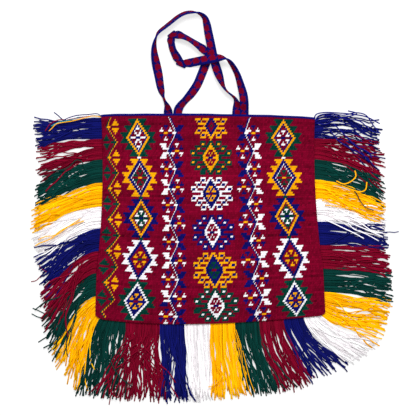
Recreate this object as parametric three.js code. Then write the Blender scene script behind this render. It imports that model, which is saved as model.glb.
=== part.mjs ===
// A flat handwoven wool bag: two woven panels, two long woven handles and a fringe in blocks of colour.
// It lies on its back with the patterned front up. Millimetres, +X right, +Y toward the mouth, +Z up.
// The origin is under the middle of the whole bag's box, fringe and handles included.
import * as THREE from "three";

// Woven body, measured over the whipped mouth edge
const MOUTH_WIDTH = 322;
const HEM_WIDTH = 346;
const BODY_HEIGHT = 305.6;
const PANEL_THICKNESS = 3;
const HEM_SHIFT = 3.6; // the hem has slipped to the right of the mouth
const WAIST = 5.5; // how far each side is drawn in below the mouth
const WAIST_SHARE = 0.75; // the share of the height that the waist takes
const MOUTH_DROP = 3.9; // the mouth's right corner lies lower than its left
const MOUTH_CROWN = 3.4;
const HEM_RISE = 4.1; // the hem's right corner lies higher than its left
const HEM_SAG = 10.5;
const CORNER_RADIUS = 7; // the two corners of the hem

// Whipped yarn along the mouth and the seams between the panels
const EDGING_WIDTH = 3.3;
const KNOT_THICKNESS = 4.4; // the fringe's knots, and the seam stitches beside them
const KNOT_DEPTH = 6; // how far the knots reach in between the panels
const SEAM_WIDTH = 5;
const CLEARANCE = 0.3;

// Handles
const STRAP_WIDTH = 14;
const STRAP_THICKNESS = 3;
const FOLD_GAP = 0.4; // air between the two layers of a fold
const FOLD_GATHER = 0.3; // how far a fold draws the strap together
const STRAP_STEP = 6; // spacing of the cross-sections along a strap

// Fringe
const FRINGE_START = 4.5; // from the mouth's edge to the first yarn
const FRINGE_TIP_THICKNESS = 2.2;
const FRINGE_LEVEL = 7; // the yarns leave the body level this far
const FRINGE_DROP = 36; // and reach the ground this far outside it
const FRINGE_SPLAY = 0.38; // the share of a yarn's length before it turns to its lay
const BUNDLE_GAP = 0.4;

const PANEL_COLUMNS = 14;
const PANEL_ROWS = 11;
const BUNDLE_STEPS = [0, 0.07, 0.18, 0.3, 0.46, 0.63, 0.81, 1];
const MOUTH_GAP = 2 * STRAP_THICKNESS + 3 * CLEARANCE + 0.2; // room for both straps' sewn ends
const EDGE_GAP = KNOT_THICKNESS + 2 * CLEARANCE;

const YARN = {
  crimson: 0x8a0c2e,
  navy: 0x14186a,
  blue: 0x1c3c9c,
  green: 0x0d5146,
  yellow: 0xf4b400,
  white: 0xf1ece6,
};

// Each row: colour, root width along the edge, then the direction and length of its far side as it
// lies. A direction is in degrees from +X toward +Y. The rows run down the left side, along the hem
// from left to right, and up the right side.
const FRINGE_FIRST_SIDE = { lay: 184.5, length: 102 };
const FRINGE = {
  left: [
    ["blue", 31.5, 188, 100],
    ["red", 31.5, 201, 104],
    ["green", 34.5, 201, 108],
    ["yellow", 35, 200.5, 111],
    ["white", 33, 199, 105],
    ["blue", 34, 210, 104],
    ["red", 32.5, 221, 106],
    ["green", 34.5, 236.5, 102],
    ["yellow", 33, 254.5, 112],
  ],
  hem: [
    ["green", 45.5, 264, 117],
    ["red", 50.5, 272.5, 118],
    ["blue", 38, 273.5, 117],
    ["white", 38.5, 272, 115],
    ["yellow", 36, 282, 112],
    ["green", 37, 287.5, 111],
    ["red", 36, 294, 106],
    ["blue", 30, 316, 101],
    ["white", 33, 336.5, 98],
  ],
  right: [
    ["yellow", 31, 352, 103],
    ["green", 35.5, 355.5, 104],
    ["red", 34.5, 356.5, 103],
    ["blue", 34.5, 354, 103],
    ["white", 32.5, 348, 105],
    ["yellow", 31, 341.5, 110],
    ["green", 29, 342, 109],
    ["red", 31, 354, 103],
    ["blue", 30.5, 357, 99],
  ],
};

// Handle routes over the ground. Each stop: x from the middle of the body, y from the mouth, height of
// the strap's lowest edge in layers of strap, and roll. At roll 0 the bordered edge is on the right
// of the way the route runs, at 90 it stands up.
const LAYER = STRAP_THICKNESS + FOLD_GAP;
const BACK_TAB = (PANEL_THICKNESS + CLEARANCE) / LAYER;
const FRONT_TAB = BACK_TAB + (STRAP_THICKNESS + CLEARANCE) / LAYER;
const BACK_HANDLE_ROUTE = [
  [-60, -20, BACK_TAB, 180],
  [-59.8, 3, BACK_TAB, 184],
  [-60.4, 8, 0.6, 208],
  [-61.8, 14, 0.2, 238],
  [-64.9, 20.8, 0, 260],
  [-66.8, 26.1, 0, 262],
  [-69.3, 34.1, 0, 232],
  [-71.6, 43.1, 0, 214],
  [-74.4, 59.6, 0, 196],
  [-78.6, 79.8, 0, 160],
  [-80.6, 92.8, 0.2, 135],
  [-80.7, 104.1, 0.5, 115],
  [-78.5, 114.8, 0.9, 98],
  [-74.6, 123.2, 1.4, 88],
  [-64.5, 131.6, 1.8, 86],
  [-54.6, 139.4, 1.8, 86],
  [-45.3, 146.8, 1.7, 85],
  [-34.5, 152.5, 1.3, 84],
  [-23.3, 154.2, 0.9, 84],
  [-12.6, 152.1, 0.6, 100],
  [-4.9, 145.8, 0.6, 124],
  [-1.8, 136.4, 0.9, 146],
  [0.9, 122.1, 1.5, 160],
  [4.7, 103.4, 2.08, 172],
  [7.2, 90.8, 2.08, 178],
  [10.4, 78.2, 2.05, 182],
  [14.4, 65.8, 1.1, 192],
  [19, 53.3, 0.2, 222],
  [21.7, 46.3, 0, 242],
  [25, 39.8, 0, 258],
  [29.6, 34.4, 0, 266],
  [35.8, 29.4, 0, 272],
  [40.6, 24.6, 0, 282],
  [42.6, 19.4, 0, 304],
  [43.8, 12.6, 0.2, 344],
  [43.2, 5.3, BACK_TAB, 360],
  [43.2, -20, BACK_TAB, 360],
];
// The front handle is folded back on itself three times, so it is four stretches; "over" says
// whether the next stretch comes back on top of the fold or under it.
const FRONT_HANDLE_STRETCHES = [
  {
    route: [
      [54.4, -20, FRONT_TAB, 0],
      [54.4, 5.3, FRONT_TAB, 0],
      [54.4, 14.1, 3.2, 3],
      [53.9, 22.1, 3.8, 8],
      [52.8, 30.6, 2.7, 20],
      [49.2, 44.6, 1, 38],
      [44.6, 59.6, 0.3, 52],
      [39, 70.9, 0.45, 60],
      [33.6, 78.4, 1.2, 68],
      [27.8, 83.4, 2.35, 92],
      [19.5, 85, 3.12, 135],
      [7.5, 84.2, 3.1, 168],
      [-6, 82.2, 2.6, 178],
      [-19.5, 79.9, 0.8, 180],
      [-30, 77.9, 0, 180],
      [-40.5, 75.4, 0, 180],
    ],
    over: true,
  },
  {
    route: [
      [-40.5, 75.4, 1, 0],
      [-46.2, 85.6, 1, 18],
      [-52.4, 97.1, 0.5, 42],
      [-55, 107.6, 0.1, 42],
      [-55.4, 115, 0, 14],
      [-54.5, 121.4, 0, 0],
    ],
    over: true,
  },
  {
    route: [
      [-54.5, 121.4, 1, 180],
      [-46, 120.6, 1, 192],
      [-37, 117.7, 0.7, 228],
      [-27, 112.8, 0.4, 236],
      [-14.5, 104.4, 0.7, 222],
      [-5.8, 97.8, 1, 192],
      [2.3, 92.4, 1, 180],
    ],
    over: false,
  },
  {
    route: [
      [2.3, 92.4, 0, 0],
      [-0.6, 84.6, 0, 0],
      [-5, 73.1, 0, 2],
      [-9.7, 61.1, 0, 2],
      [-16.5, 45.4, 0, 4],
      [-25, 32.6, 0, 18],
      [-34.8, 21.4, 0, 42],
      [-42.2, 12.6, 1, 28],
      [-45.2, 5.3, FRONT_TAB, 0],
      [-45.2, -20, FRONT_TAB, 0],
    ],
  },
];

const UP = new THREE.Vector3(0, 0, 1);
const mix = THREE.MathUtils.lerp;
const range = (count) => Array.from({ length: count + 1 }, (_, i) => i / count);
const arc = (share) => Math.sin(Math.PI * THREE.MathUtils.clamp(share, 0, 1));

// Joins rings of equally many points into one closed solid. Point i and point n-1-i of a ring lie
// above and below each other, so each end is closed by quads from one half to the other.
function loft(rings) {
  const sides = rings[0].length;
  const faces = [];
  const quad = (a, b, c, d) => faces.push(a, b, c, a, c, d);
  for (let ring = 0; ring + 1 < rings.length; ring++)
    for (let i = 0; i < sides; i++) {
      const here = ring * sides;
      const j = (i + 1) % sides;
      quad(here + i, here + j, here + sides + j, here + sides + i);
    }
  const last = (rings.length - 1) * sides;
  for (let i = 0; i < sides / 2 - 1; i++) {
    const j = sides - 1 - i;
    quad(j, j - 1, i + 1, i);
    quad(last + i, last + i + 1, last + j - 1, last + j);
  }
  const points = rings.flat();
  const volume = faces.reduce((sum, _, k) => {
    if (k % 3) return sum;
    const [a, b, c] = faces.slice(k, k + 3).map((index) => points[index]);
    return sum + a.dot(new THREE.Vector3().crossVectors(b, c));
  }, 0);
  if (volume < 0) faces.reverse();
  const geometry = new THREE.BufferGeometry().setFromPoints(points);
  geometry.setIndex(faces);
  geometry.computeVertexNormals();
  return geometry;
}

function piece(name, yarn, geometry) {
  const material = new THREE.MeshStandardMaterial({
    color: YARN[yarn],
    roughness: 0.95,
    metalness: 0,
  });
  const mesh = new THREE.Mesh(geometry, material);
  mesh.name = name;
  return mesh;
}

// Outline of the body: u runs from -1 at the left to 1 at the right, v from 0 at the mouth to 1 at
// the hem. The sides are drawn in by a sine arch and end in a quarter circle at the hem.
function sideInset(v) {
  const waist = WAIST * arc(v / WAIST_SHARE) ** 0.7;
  const into = Math.max(0, 1 - ((1 - v) * BODY_HEIGHT) / CORNER_RADIUS);
  return waist + CORNER_RADIUS * (1 - Math.sqrt(1 - into * into));
}

function bodyPoint(u, v) {
  const halfWidth = mix(MOUTH_WIDTH, HEM_WIDTH, v) / 2 - sideInset(v);
  const across = (u + 1) / 2;
  const mouth = MOUTH_CROWN * arc(across) ** 0.6 - MOUTH_DROP * across;
  const hem = HEM_RISE * across - HEM_SAG * arc(Math.abs(across) ** 0.8);
  const halfHeight = BODY_HEIGHT / 2;
  return new THREE.Vector3(
    u * halfWidth + HEM_SHIFT * v,
    mix(halfHeight + mouth, hem - halfHeight, v),
    0,
  );
}

// The panels part by the knots' thickness at the sides and hem and by the straps' at the mouth.
function pocketGap(u, v) {
  return EDGE_GAP + (MOUTH_GAP - EDGE_GAP) * (1 - u ** 8) * (1 - v ** 8);
}
const frontUnderside = (u, v) => PANEL_THICKNESS + pocketGap(u, v);

const PANEL_START = (EDGING_WIDTH + CLEARANCE) / BODY_HEIGHT; // the whipped edge lies above it
const CORNER_ROWS = [0.6, 0.25, 0.08, 0].map(
  (share) => 1 - (share * CORNER_RADIUS) / BODY_HEIGHT,
);
const ROWS = [
  ...range(PANEL_ROWS).map((t) =>
    mix(PANEL_START, 1 - CORNER_RADIUS / BODY_HEIGHT, t),
  ),
  ...CORNER_ROWS,
];

function panel(name, underside) {
  const rings = range(PANEL_COLUMNS).map((t) => {
    const u = 2 * t - 1;
    const face = (raised) =>
      ROWS.map((v) => {
        const point = bodyPoint(u, v);
        point.z = underside(u, v) + (raised ? PANEL_THICKNESS : 0);
        return point;
      });
    return [...face(true), ...face(false).reverse()];
  });
  return piece(name, "crimson", loft(rings));
}

// An oval section across a run: half-width along "across", half-height along "up".
function ovalRing(centre, across, halfWidth, up, halfHeight, sides = 8) {
  return range(sides)
    .slice(0, sides)
    .map((t) => {
      const angle = 2 * Math.PI * t + Math.PI / sides;
      return centre
        .clone()
        .addScaledVector(across, halfWidth * Math.cos(angle))
        .addScaledVector(up, halfHeight * Math.sin(angle));
    });
}

// The sections of a run of yarn through the given places, square to its way in plan.
function yarnRun(places, width, height) {
  return places.map((centre, i) => {
    const before = places[Math.max(0, i - 1)];
    const after = places[Math.min(places.length - 1, i + 1)];
    const way = new THREE.Vector3().subVectors(after, before).setZ(0).normalize();
    const across = new THREE.Vector3().crossVectors(way, UP);
    return ovalRing(centre, across, width / 2, UP, height / 2);
  });
}

function mouthEdging(name, underside) {
  const places = range(PANEL_COLUMNS).map((t) => {
    const u = 2 * t - 1;
    const place = bodyPoint(u, 0);
    place.y -= EDGING_WIDTH / 2;
    place.z = underside(u, 0) + PANEL_THICKNESS / 2;
    return place;
  });
  return piece(name, "navy", loft(yarnRun(places, EDGING_WIDTH, PANEL_THICKNESS)));
}

// Knots and seam lie side by side between the panels, in from the body's edge.
const inFromSide = (depth) => 1 - depth / (MOUTH_WIDTH / 2);
const inFromHem = (depth) => 1 - depth / BODY_HEIGHT;
const SEAM_LINE = KNOT_DEPTH + CLEARANCE + SEAM_WIDTH / 2;

function seam(name, lineShares) {
  const places = lineShares.map(([u, v]) => {
    const place = bodyPoint(u, v);
    place.z = PANEL_THICKNESS + EDGE_GAP / 2;
    return place;
  });
  return piece(name, "navy", loft(yarnRun(places, SEAM_WIDTH, KNOT_THICKNESS)));
}

function seams() {
  const lowest = inFromHem(SEAM_LINE + SEAM_WIDTH / 2);
  const side = (sign) =>
    range(PANEL_ROWS).map((t) => [
      sign * inFromSide(SEAM_LINE),
      mix(2 * PANEL_START, inFromHem(SEAM_LINE + SEAM_WIDTH / 2 + CLEARANCE), t),
    ]);
  const hemEnd = inFromSide(KNOT_DEPTH + SEAM_WIDTH / 2);
  const hem = range(PANEL_COLUMNS).map((t) => [
    hemEnd * (2 * t - 1),
    lowest + SEAM_WIDTH / 2 / BODY_HEIGHT,
  ]);
  return [
    seam("left_side_seam", side(-1)),
    seam("right_side_seam", side(1)),
    seam("hem_seam", hem),
  ];
}

// Walks one side of the fringe and gives each bundle's colour and its two boundaries.
function fringeSide(rows, placeAt, start, first) {
  const total = rows.reduce((sum, [, root]) => sum + root, 0);
  let walked = 0;
  let before = { place: placeAt(start), ...first };
  return rows.map(([colour, root, lay, length]) => {
    walked += root;
    const after = {
      place: placeAt(mix(start, 1, walked / total)),
      lay,
      length,
    };
    const bundle = { colour, before, after };
    before = after;
    return bundle;
  });
}

// One boundary yarn in plan: knot, body edge, then a curve that leaves square to the edge and turns
// to its lay.
function boundaryYarn({ place: [u, v], lay, length }, outward) {
  const knot = bodyPoint(
    THREE.MathUtils.clamp(u, -inFromSide(KNOT_DEPTH), inFromSide(KNOT_DEPTH)),
    Math.min(v, inFromHem(KNOT_DEPTH)),
  );
  const edge = bodyPoint(u, v);
  const angle = THREE.MathUtils.degToRad(lay);
  const tip = edge
    .clone()
    .add(new THREE.Vector3(Math.cos(angle), Math.sin(angle), 0).multiplyScalar(length));
  const bend = edge.clone().addScaledVector(outward, FRINGE_SPLAY * length);
  const free = new THREE.QuadraticBezierCurve3(edge, bend, tip);
  return [knot, ...BUNDLE_STEPS.map((t) => free.getPoint(t))];
}

function fringeBundle(name, { colour, before, after }, outward) {
  const near = boundaryYarn(before, outward[0]);
  const far = boundaryYarn(after, outward[1]);
  const rings = near.map((a, i) => {
    const b = far[i];
    const across = new THREE.Vector3().subVectors(b, a).normalize();
    const share = i ? BUNDLE_STEPS[i - 1] : 0;
    const walked = (share * (before.length + after.length)) / 2;
    const settled = THREE.MathUtils.smoothstep(walked, FRINGE_LEVEL, FRINGE_DROP);
    const thickness = mix(KNOT_THICKNESS, FRINGE_TIP_THICKNESS, share ** 0.7);
    const low = (PANEL_THICKNESS + CLEARANCE) * (1 - settled);
    const from = a.clone().addScaledVector(across, BUNDLE_GAP / 2);
    const to = b.clone().addScaledVector(across, -BUNDLE_GAP / 2);
    const at = (t, level) => {
      const point = from.clone().lerp(to, t);
      point.z = low + thickness * (0.5 + level);
      return point;
    };
    const top = [at(0, 0.25), at(0.25, 0.5), at(0.75, 0.5), at(1, 0.25)];
    const under = [at(1, -0.25), at(0.75, -0.5), at(0.25, -0.5), at(0, -0.25)];
    return [...top, ...under];
  });
  return piece(name, colour === "red" ? "crimson" : colour, loft(rings));
}

function fringe() {
  const start = FRINGE_START / BODY_HEIGHT;
  const left = new THREE.Vector3(-1, 0, 0);
  const down = new THREE.Vector3(0, -1, 0);
  const right = new THREE.Vector3(1, 0, 0);
  const leftCorner = left.clone().add(down).normalize();
  const rightCorner = right.clone().add(down).normalize();
  const leftSide = fringeSide(FRINGE.left, (t) => [-1, t], start, FRINGE_FIRST_SIDE);
  const hem = fringeSide(FRINGE.hem, (t) => [2 * t - 1, 1], 0, leftSide.at(-1).after);
  const upward = (t) => [1, 1 - t * (1 - start)];
  const rightSide = fringeSide(FRINGE.right, upward, 0, hem.at(-1).after);
  const sides = [
    ["left", leftSide, left, left, leftCorner],
    ["hem", hem, leftCorner, down, rightCorner],
    ["right", rightSide, rightCorner, right, right],
  ];
  return sides.flatMap(([side, bundles, atStart, between, atEnd]) =>
    bundles.map((bundle, i) => {
      const outward = [i ? between : atStart, i + 1 < bundles.length ? between : atEnd];
      const name = `fringe_${side}_${i + 1}_${bundle.colour}`;
      return fringeBundle(name, bundle, outward);
    }),
  );
}

// Monotone cubic through equally spaced values: it never rises or falls past them.
function monotone(values, index, t) {
  const slopeAt = (i) => {
    if (i === 0 || i === values.length - 1) return 0;
    const before = values[i] - values[i - 1];
    const after = values[i + 1] - values[i];
    return before * after > 0 ? (2 * before * after) / (before + after) : 0;
  };
  const [a, b] = [values[index], values[index + 1]];
  const [m, n] = [slopeAt(index), slopeAt(index + 1)];
  const [t2, t3] = [t * t, t * t * t];
  return (
    a * (2 * t3 - 3 * t2 + 1) + m * (t3 - 2 * t2 + t) + b * (3 * t2 - 2 * t3) + n * (t3 - t2)
  );
}

// Cross-sections of one stretch. Each has its centre, its half-width vector toward the bordered edge
// and its face's normal. Near a fold the sections turn in plan until they lie along the crease.
function stretchSections(route, creaseBefore, creaseAfter) {
  const plan = new THREE.CatmullRomCurve3(
    route.map(([x, y]) => new THREE.Vector3(x, y, 0)),
  );
  const spans = route.length - 1;
  const count = Math.round(plan.getLength() / STRAP_STEP);
  const fixedRoll = [route[0][3], route[spans][3]];
  const ends = [plan.getTangent(0), plan.getTangent(1)];
  const skewFor = (crease, way, roll) => {
    if (!crease) return 0;
    const side = new THREE.Vector3(way.y, -way.x, 0).multiplyScalar(
      Math.cos(THREE.MathUtils.degToRad(roll)),
    );
    return crease.dot(way) / crease.dot(side);
  };
  const folds = [
    { crease: creaseBefore, skew: skewFor(creaseBefore, ends[0], fixedRoll[0]) },
    { crease: creaseAfter, skew: skewFor(creaseAfter, ends[1], fixedRoll[1]) },
  ];
  // 1 at the fold and 0 where the strap runs free of it
  const nearness = (place, end) => {
    const { crease, skew } = folds[end];
    if (!crease) return 0;
    const reach = (1.15 * Math.abs(skew) * STRAP_WIDTH) / 2 + STRAP_THICKNESS;
    return Math.max(0, 1 - place.distanceTo(plan.getPoint(end)) / reach);
  };
  return range(count).map((t) => {
    const place = plan.getPoint(t);
    const way = plan.getTangent(t);
    const index = Math.min(spans - 1, Math.floor(t * spans));
    const within = t * spans - index;
    const lift = monotone(route.map((stop) => stop[2] * LAYER), index, within);
    const roll = THREE.MathUtils.degToRad(
      monotone(route.map((stop) => stop[3]), index, within),
    );
    const near = [nearness(place, 0), nearness(place, 1)];
    place.y += BODY_HEIGHT / 2;
    const side = new THREE.Vector3(way.y, -way.x, 0);
    const across = side
      .multiplyScalar(Math.cos(roll))
      .addScaledVector(UP, Math.sin(roll));
    const normal = new THREE.Vector3().crossVectors(across, way);
    across.addScaledVector(way, folds[0].skew * near[0] + folds[1].skew * near[1]);
    across.multiplyScalar((STRAP_WIDTH / 2) * (1 - FOLD_GATHER * Math.max(...near) ** 2));
    place.z =
      lift +
      (STRAP_WIDTH / 2) * Math.abs(Math.sin(roll)) +
      (STRAP_THICKNESS / 2) * Math.abs(Math.cos(roll));
    return { place, across, normal, way };
  });
}

// The round of a fold: the sections lie along the crease and turn half a circle about it.
function foldSections(last, crease, over) {
  const outward = last.way.clone().addScaledVector(crease, -last.way.dot(crease)).normalize();
  const radius = LAYER / 2;
  const turn = over ? 1 : -1;
  const facing = Math.sign(last.normal.z);
  return [1, 2, 3, 4, 5].map((k) => {
    const angle = (Math.PI * k) / 6;
    const place = last.place
      .clone()
      .addScaledVector(outward, radius * Math.sin(angle))
      .addScaledVector(UP, turn * radius * (1 - Math.cos(angle)));
    const normal = UP.clone()
      .multiplyScalar(facing * Math.cos(angle))
      .addScaledVector(outward, -facing * turn * Math.sin(angle));
    return { place, across: last.across, normal };
  });
}

function creaseBetween(stretch, next) {
  const [[ax, ay], [bx, by]] = stretch.route.slice(-2);
  const [[cx, cy], [dx, dy]] = next.route.slice(0, 2);
  const arriving = new THREE.Vector3(bx - ax, by - ay, 0).normalize();
  const leaving = new THREE.Vector3(dx - cx, dy - cy, 0).normalize();
  return arriving.add(leaving).normalize();
}

function handle(name, stretches) {
  const creases = stretches.slice(1).map((next, i) => creaseBetween(stretches[i], next));
  const sections = stretches.flatMap(({ route, over }, i) => {
    const own = stretchSections(route, creases[i - 1], creases[i]);
    return i < creases.length ? [...own, ...foldSections(own.at(-1), creases[i], over)] : own;
  });
  const rings = sections.map(({ place, across, normal }) => {
    const at = (share, level) =>
      place
        .clone()
        .addScaledVector(across, share)
        .addScaledVector(normal, level * STRAP_THICKNESS);
    const top = [at(-1, 0.2), at(-0.86, 0.5), at(0.86, 0.5), at(1, 0.2)];
    const under = [at(1, -0.2), at(0.86, -0.5), at(-0.86, -0.5), at(-1, -0.2)];
    return [...top, ...under];
  });
  return piece(name, "crimson", loft(rings));
}

const onFloor = () => 0;
const bag = new THREE.Group();
bag.add(
  panel("back_panel", onFloor),
  panel("front_panel", frontUnderside),
  mouthEdging("back_mouth_edging", onFloor),
  mouthEdging("front_mouth_edging", frontUnderside),
  ...seams(),
  handle("back_handle", [{ route: BACK_HANDLE_ROUTE }]),
  handle("front_handle", FRONT_HANDLE_STRETCHES),
  ...fringe(),
);

// Stand the bag on its origin.
const bounds = new THREE.Box3().setFromObject(bag);
const middle = bounds.getCenter(new THREE.Vector3());
bag.position.set(-middle.x, -middle.y, -bounds.min.z);

const handbag = new THREE.Group();
handbag.add(bag);

export default handbag;
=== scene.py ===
"""Builds the looks of a fringed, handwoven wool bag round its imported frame.

Sizes are in millimetres until a mesh is made, which is in metres. +X is right, +Y toward the mouth
and +Z up, away from the floor that the bag lies on.
"""

import logging
import math
from collections.abc import Sequence
from dataclasses import dataclass, field
from enum import Enum

import bpy
import numpy as np
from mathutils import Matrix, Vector


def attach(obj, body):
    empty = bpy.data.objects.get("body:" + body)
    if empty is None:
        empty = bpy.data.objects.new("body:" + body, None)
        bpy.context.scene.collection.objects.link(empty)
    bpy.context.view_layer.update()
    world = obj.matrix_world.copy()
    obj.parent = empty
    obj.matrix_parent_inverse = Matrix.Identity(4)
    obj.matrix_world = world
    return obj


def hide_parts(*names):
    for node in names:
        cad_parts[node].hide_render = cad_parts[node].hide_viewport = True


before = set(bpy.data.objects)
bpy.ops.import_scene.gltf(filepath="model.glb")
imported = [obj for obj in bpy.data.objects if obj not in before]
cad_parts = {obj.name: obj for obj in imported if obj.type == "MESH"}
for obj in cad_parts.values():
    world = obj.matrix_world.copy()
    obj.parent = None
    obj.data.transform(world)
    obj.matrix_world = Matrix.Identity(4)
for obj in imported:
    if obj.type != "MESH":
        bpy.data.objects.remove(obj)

LOG = logging.getLogger("wool_bag")
MM = 0.001
BAG_SHIFT = np.array([-6.761, -15.040, 0.0])  # from the middle of the body to the frame's origin
PHOTO_MIDDLE = (208.0, 216.0)  # where the body's middle lies on the photo
PHOTO_STEP = 1.5  # millimetres in a step of the photo's plan
PHOTO_LIFT = 0.9  # from that middle up to the body's own
CHART_SIZE = (92, 151)  # rows and columns of stitches in a panel
FINE_STEPS = 4000  # in which a curve's length is measured
FIRST_FRINGE_SEED = 100
WHITE_LIGHT = (1, 1, 1, 1)
UP = np.array([0.0, 0.0, 1.0])
TAU = 2 * math.pi


class Dye(Enum):
    """The dye baths of the wool, each with its colour as it shows, from 0 to 255."""

    CRIMSON = (116, 2, 35)
    NAVY = (12, 13, 96)
    YELLOW = (245, 166, 4)
    WHITE = (249, 247, 254)
    GREEN = (2, 58, 48)
    BLUE = (9, 14, 91)
    FRINGE_RED = (118, 3, 34)
    FRINGE_GREEN = (1, 52, 47)
    FRINGE_YELLOW = (255, 179, 3)
    FRINGE_WHITE = (246, 241, 244)
    # A lighter copy of the blue, painted as lit, for loose yarns that lie on top
    STRAY_BLUE = (15, 18, 112)
    TEAL = (60, 150, 160)

    @property
    def linear(self) -> np.ndarray:
        """The colour in linear light, from 0 to 1."""
        shown = np.array(self.value) / 255
        return np.where(shown <= 0.04045, shown / 12.92, ((shown + 0.055) / 1.055) ** 2.4)


GROOVE_PAINTED_SHADE, RIDGE_PAINTED_HIGHLIGHT = 0.62, 1.14  # painted shade between stitches and painted highlight along their middles
RIDGE_ENDS = (0.22, 0.78)  # where a stitch's ridge begins and ends, as shares of its length
STITCH_PLAY = (0.8, 1.2)  # shares of the height that single stitches have
PLAIN_PLACES = 7  # places on the yarn that the plain inside's points share out
LEAN = 0.25  # a stitch's ends lie this far to either side, in stitches, so that it slants
CHART_DYES = (Dye.CRIMSON, Dye.NAVY, Dye.YELLOW, Dye.WHITE, Dye.GREEN)
CHART_CODE = {dye: code for code, dye in enumerate(CHART_DYES)}
CHART_COLOURS = np.array([dye.linear for dye in CHART_DYES])
LIGHTNESS = np.array([0, 0, 0.7, 1, 0])  # how much darker neighbours close over each chart dye


def arc(share: np.ndarray) -> np.ndarray:
    """A sine arch: 0 at a share of 0 and 1, and 1 half way."""
    return np.maximum(np.sin(math.pi * np.clip(share, 0, 1)), 0)


def mix(a: np.ndarray, b: np.ndarray, share: np.ndarray) -> np.ndarray:
    """The value at a share of the way from a to b."""
    return a + (b - a) * share


def smooth_step(value: np.ndarray, low: float, high: float) -> np.ndarray:
    """0 below low, 1 above high, and an S-shaped cubic between them."""
    share = np.clip((value - low) / (high - low), 0, 1)
    return share * share * (3 - 2 * share)


def unit(vectors: np.ndarray) -> np.ndarray:
    """Vectors along the last axis, each divided by its own length."""
    return vectors / np.maximum(np.linalg.norm(vectors, axis=-1, keepdims=True), 1e-9)


@dataclass
class Patch:
    """Faces with equally many corners, each with its own dye."""

    faces: np.ndarray  # vertex numbers, one row a face, counter-clockwise seen from outside
    dyes: np.ndarray  # one linear colour a face
    yarn: np.ndarray  # the place of each corner on its yarn, round it and along it
    tones: Sequence[float] = ()  # brightness of each of a face's corners; for stitches, painted shade and painted highlight


@dataclass
class Draft:
    """A mesh before it goes to Blender: points in millimetres and patches of faces."""

    points: list[np.ndarray] = field(default_factory=list)
    patches: list[Patch] = field(default_factory=list)

    def add(self, points: np.ndarray, patches: Sequence[Patch]) -> None:
        """Adds a closed shell with its own vertex numbers.

        Args:
            points: its points, along the last axis.
            patches: its faces.
        """
        offset = sum(len(block) for block in self.points)
        self.points.append(points.reshape(-1, 3))
        self.patches += [Patch(p.faces + offset, p.dyes, p.yarn, p.tones) for p in patches]

    def _corner_step(self, points: np.ndarray) -> int:
        """The step with which every face's corners are read, so that the faces face outwards.

        They face inwards where they enclose a negative volume. The volume is a sixth of the sum of
        a . (b x c) over each face's fan of triangles.

        Args:
            points: all the draft's points.

        Returns:
            1, or -1 where the corners have to run the other way round.
        """
        volume = 0.0
        for patch in self.patches:
            corners = points[patch.faces]
            for k in range(1, patch.faces.shape[1] - 1):
                normal = np.cross(corners[:, k], corners[:, k + 1])
                volume += np.einsum("ij,ij->", corners[:, 0], normal)
        return 1 if volume > 0 else -1

    def make(self, name: str, finish: "WoolFinish") -> bpy.types.Object:
        """Makes the piece as a mesh object at the origin.

        Args:
            name: the piece's name.
            finish: the wool it is made of.

        Returns:
            The new object, linked to the scene.
        """
        points = np.concatenate(self.points) + BAG_SHIFT
        step = self._corner_step(points)
        faces = [patch.faces[:, ::step] for patch in self.patches]
        yarn = [patch.yarn[:, ::step].reshape(-1, 2) for patch in self.patches]
        tones = []
        for patch in self.patches:
            count, sides = patch.faces.shape
            tones.append(np.tile(patch.tones or [1.0] * sides, (count, 1))[:, ::step].ravel())
        sides = np.concatenate([np.full(len(block), block.shape[1]) for block in faces])
        corners = np.concatenate([block.ravel() for block in faces]).astype(np.int32)
        mesh = bpy.data.meshes.new(name)
        mesh.vertices.add(len(points))
        mesh.vertices.foreach_set("co", (points * MM).astype(np.float32).ravel())
        mesh.loops.add(len(corners))
        mesh.loops.foreach_set("vertex_index", corners)
        mesh.polygons.add(len(sides))
        starts = np.concatenate([[0], np.cumsum(sides)[:-1]]).astype(np.int32)
        mesh.polygons.foreach_set("loop_start", starts)
        mesh.polygons.foreach_set("use_smooth", np.ones(len(sides), dtype=bool))
        mesh.update(calc_edges=True)
        places = mesh.uv_layers.new(name="yarn")
        places.data.foreach_set("uv", np.concatenate(yarn).astype(np.float32).ravel())
        dyes = np.repeat(np.concatenate([patch.dyes for patch in self.patches]), sides, axis=0)
        shades = np.ones((len(corners), 4), dtype=np.float32)
        # The dye times each corner's tone, which paints shade in the grooves and highlight on the ridges
        shades[:, :3] = dyes * np.concatenate(tones)[:, None]
        colours = mesh.color_attributes.new(name="dye", type="FLOAT_COLOR", domain="CORNER")
        colours.data.foreach_set("color", shades.ravel())
        mesh.validate()
        mesh.materials.append(finish.material())
        piece = bpy.data.objects.new(name, mesh)
        bpy.context.scene.collection.objects.link(piece)
        return piece


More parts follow.
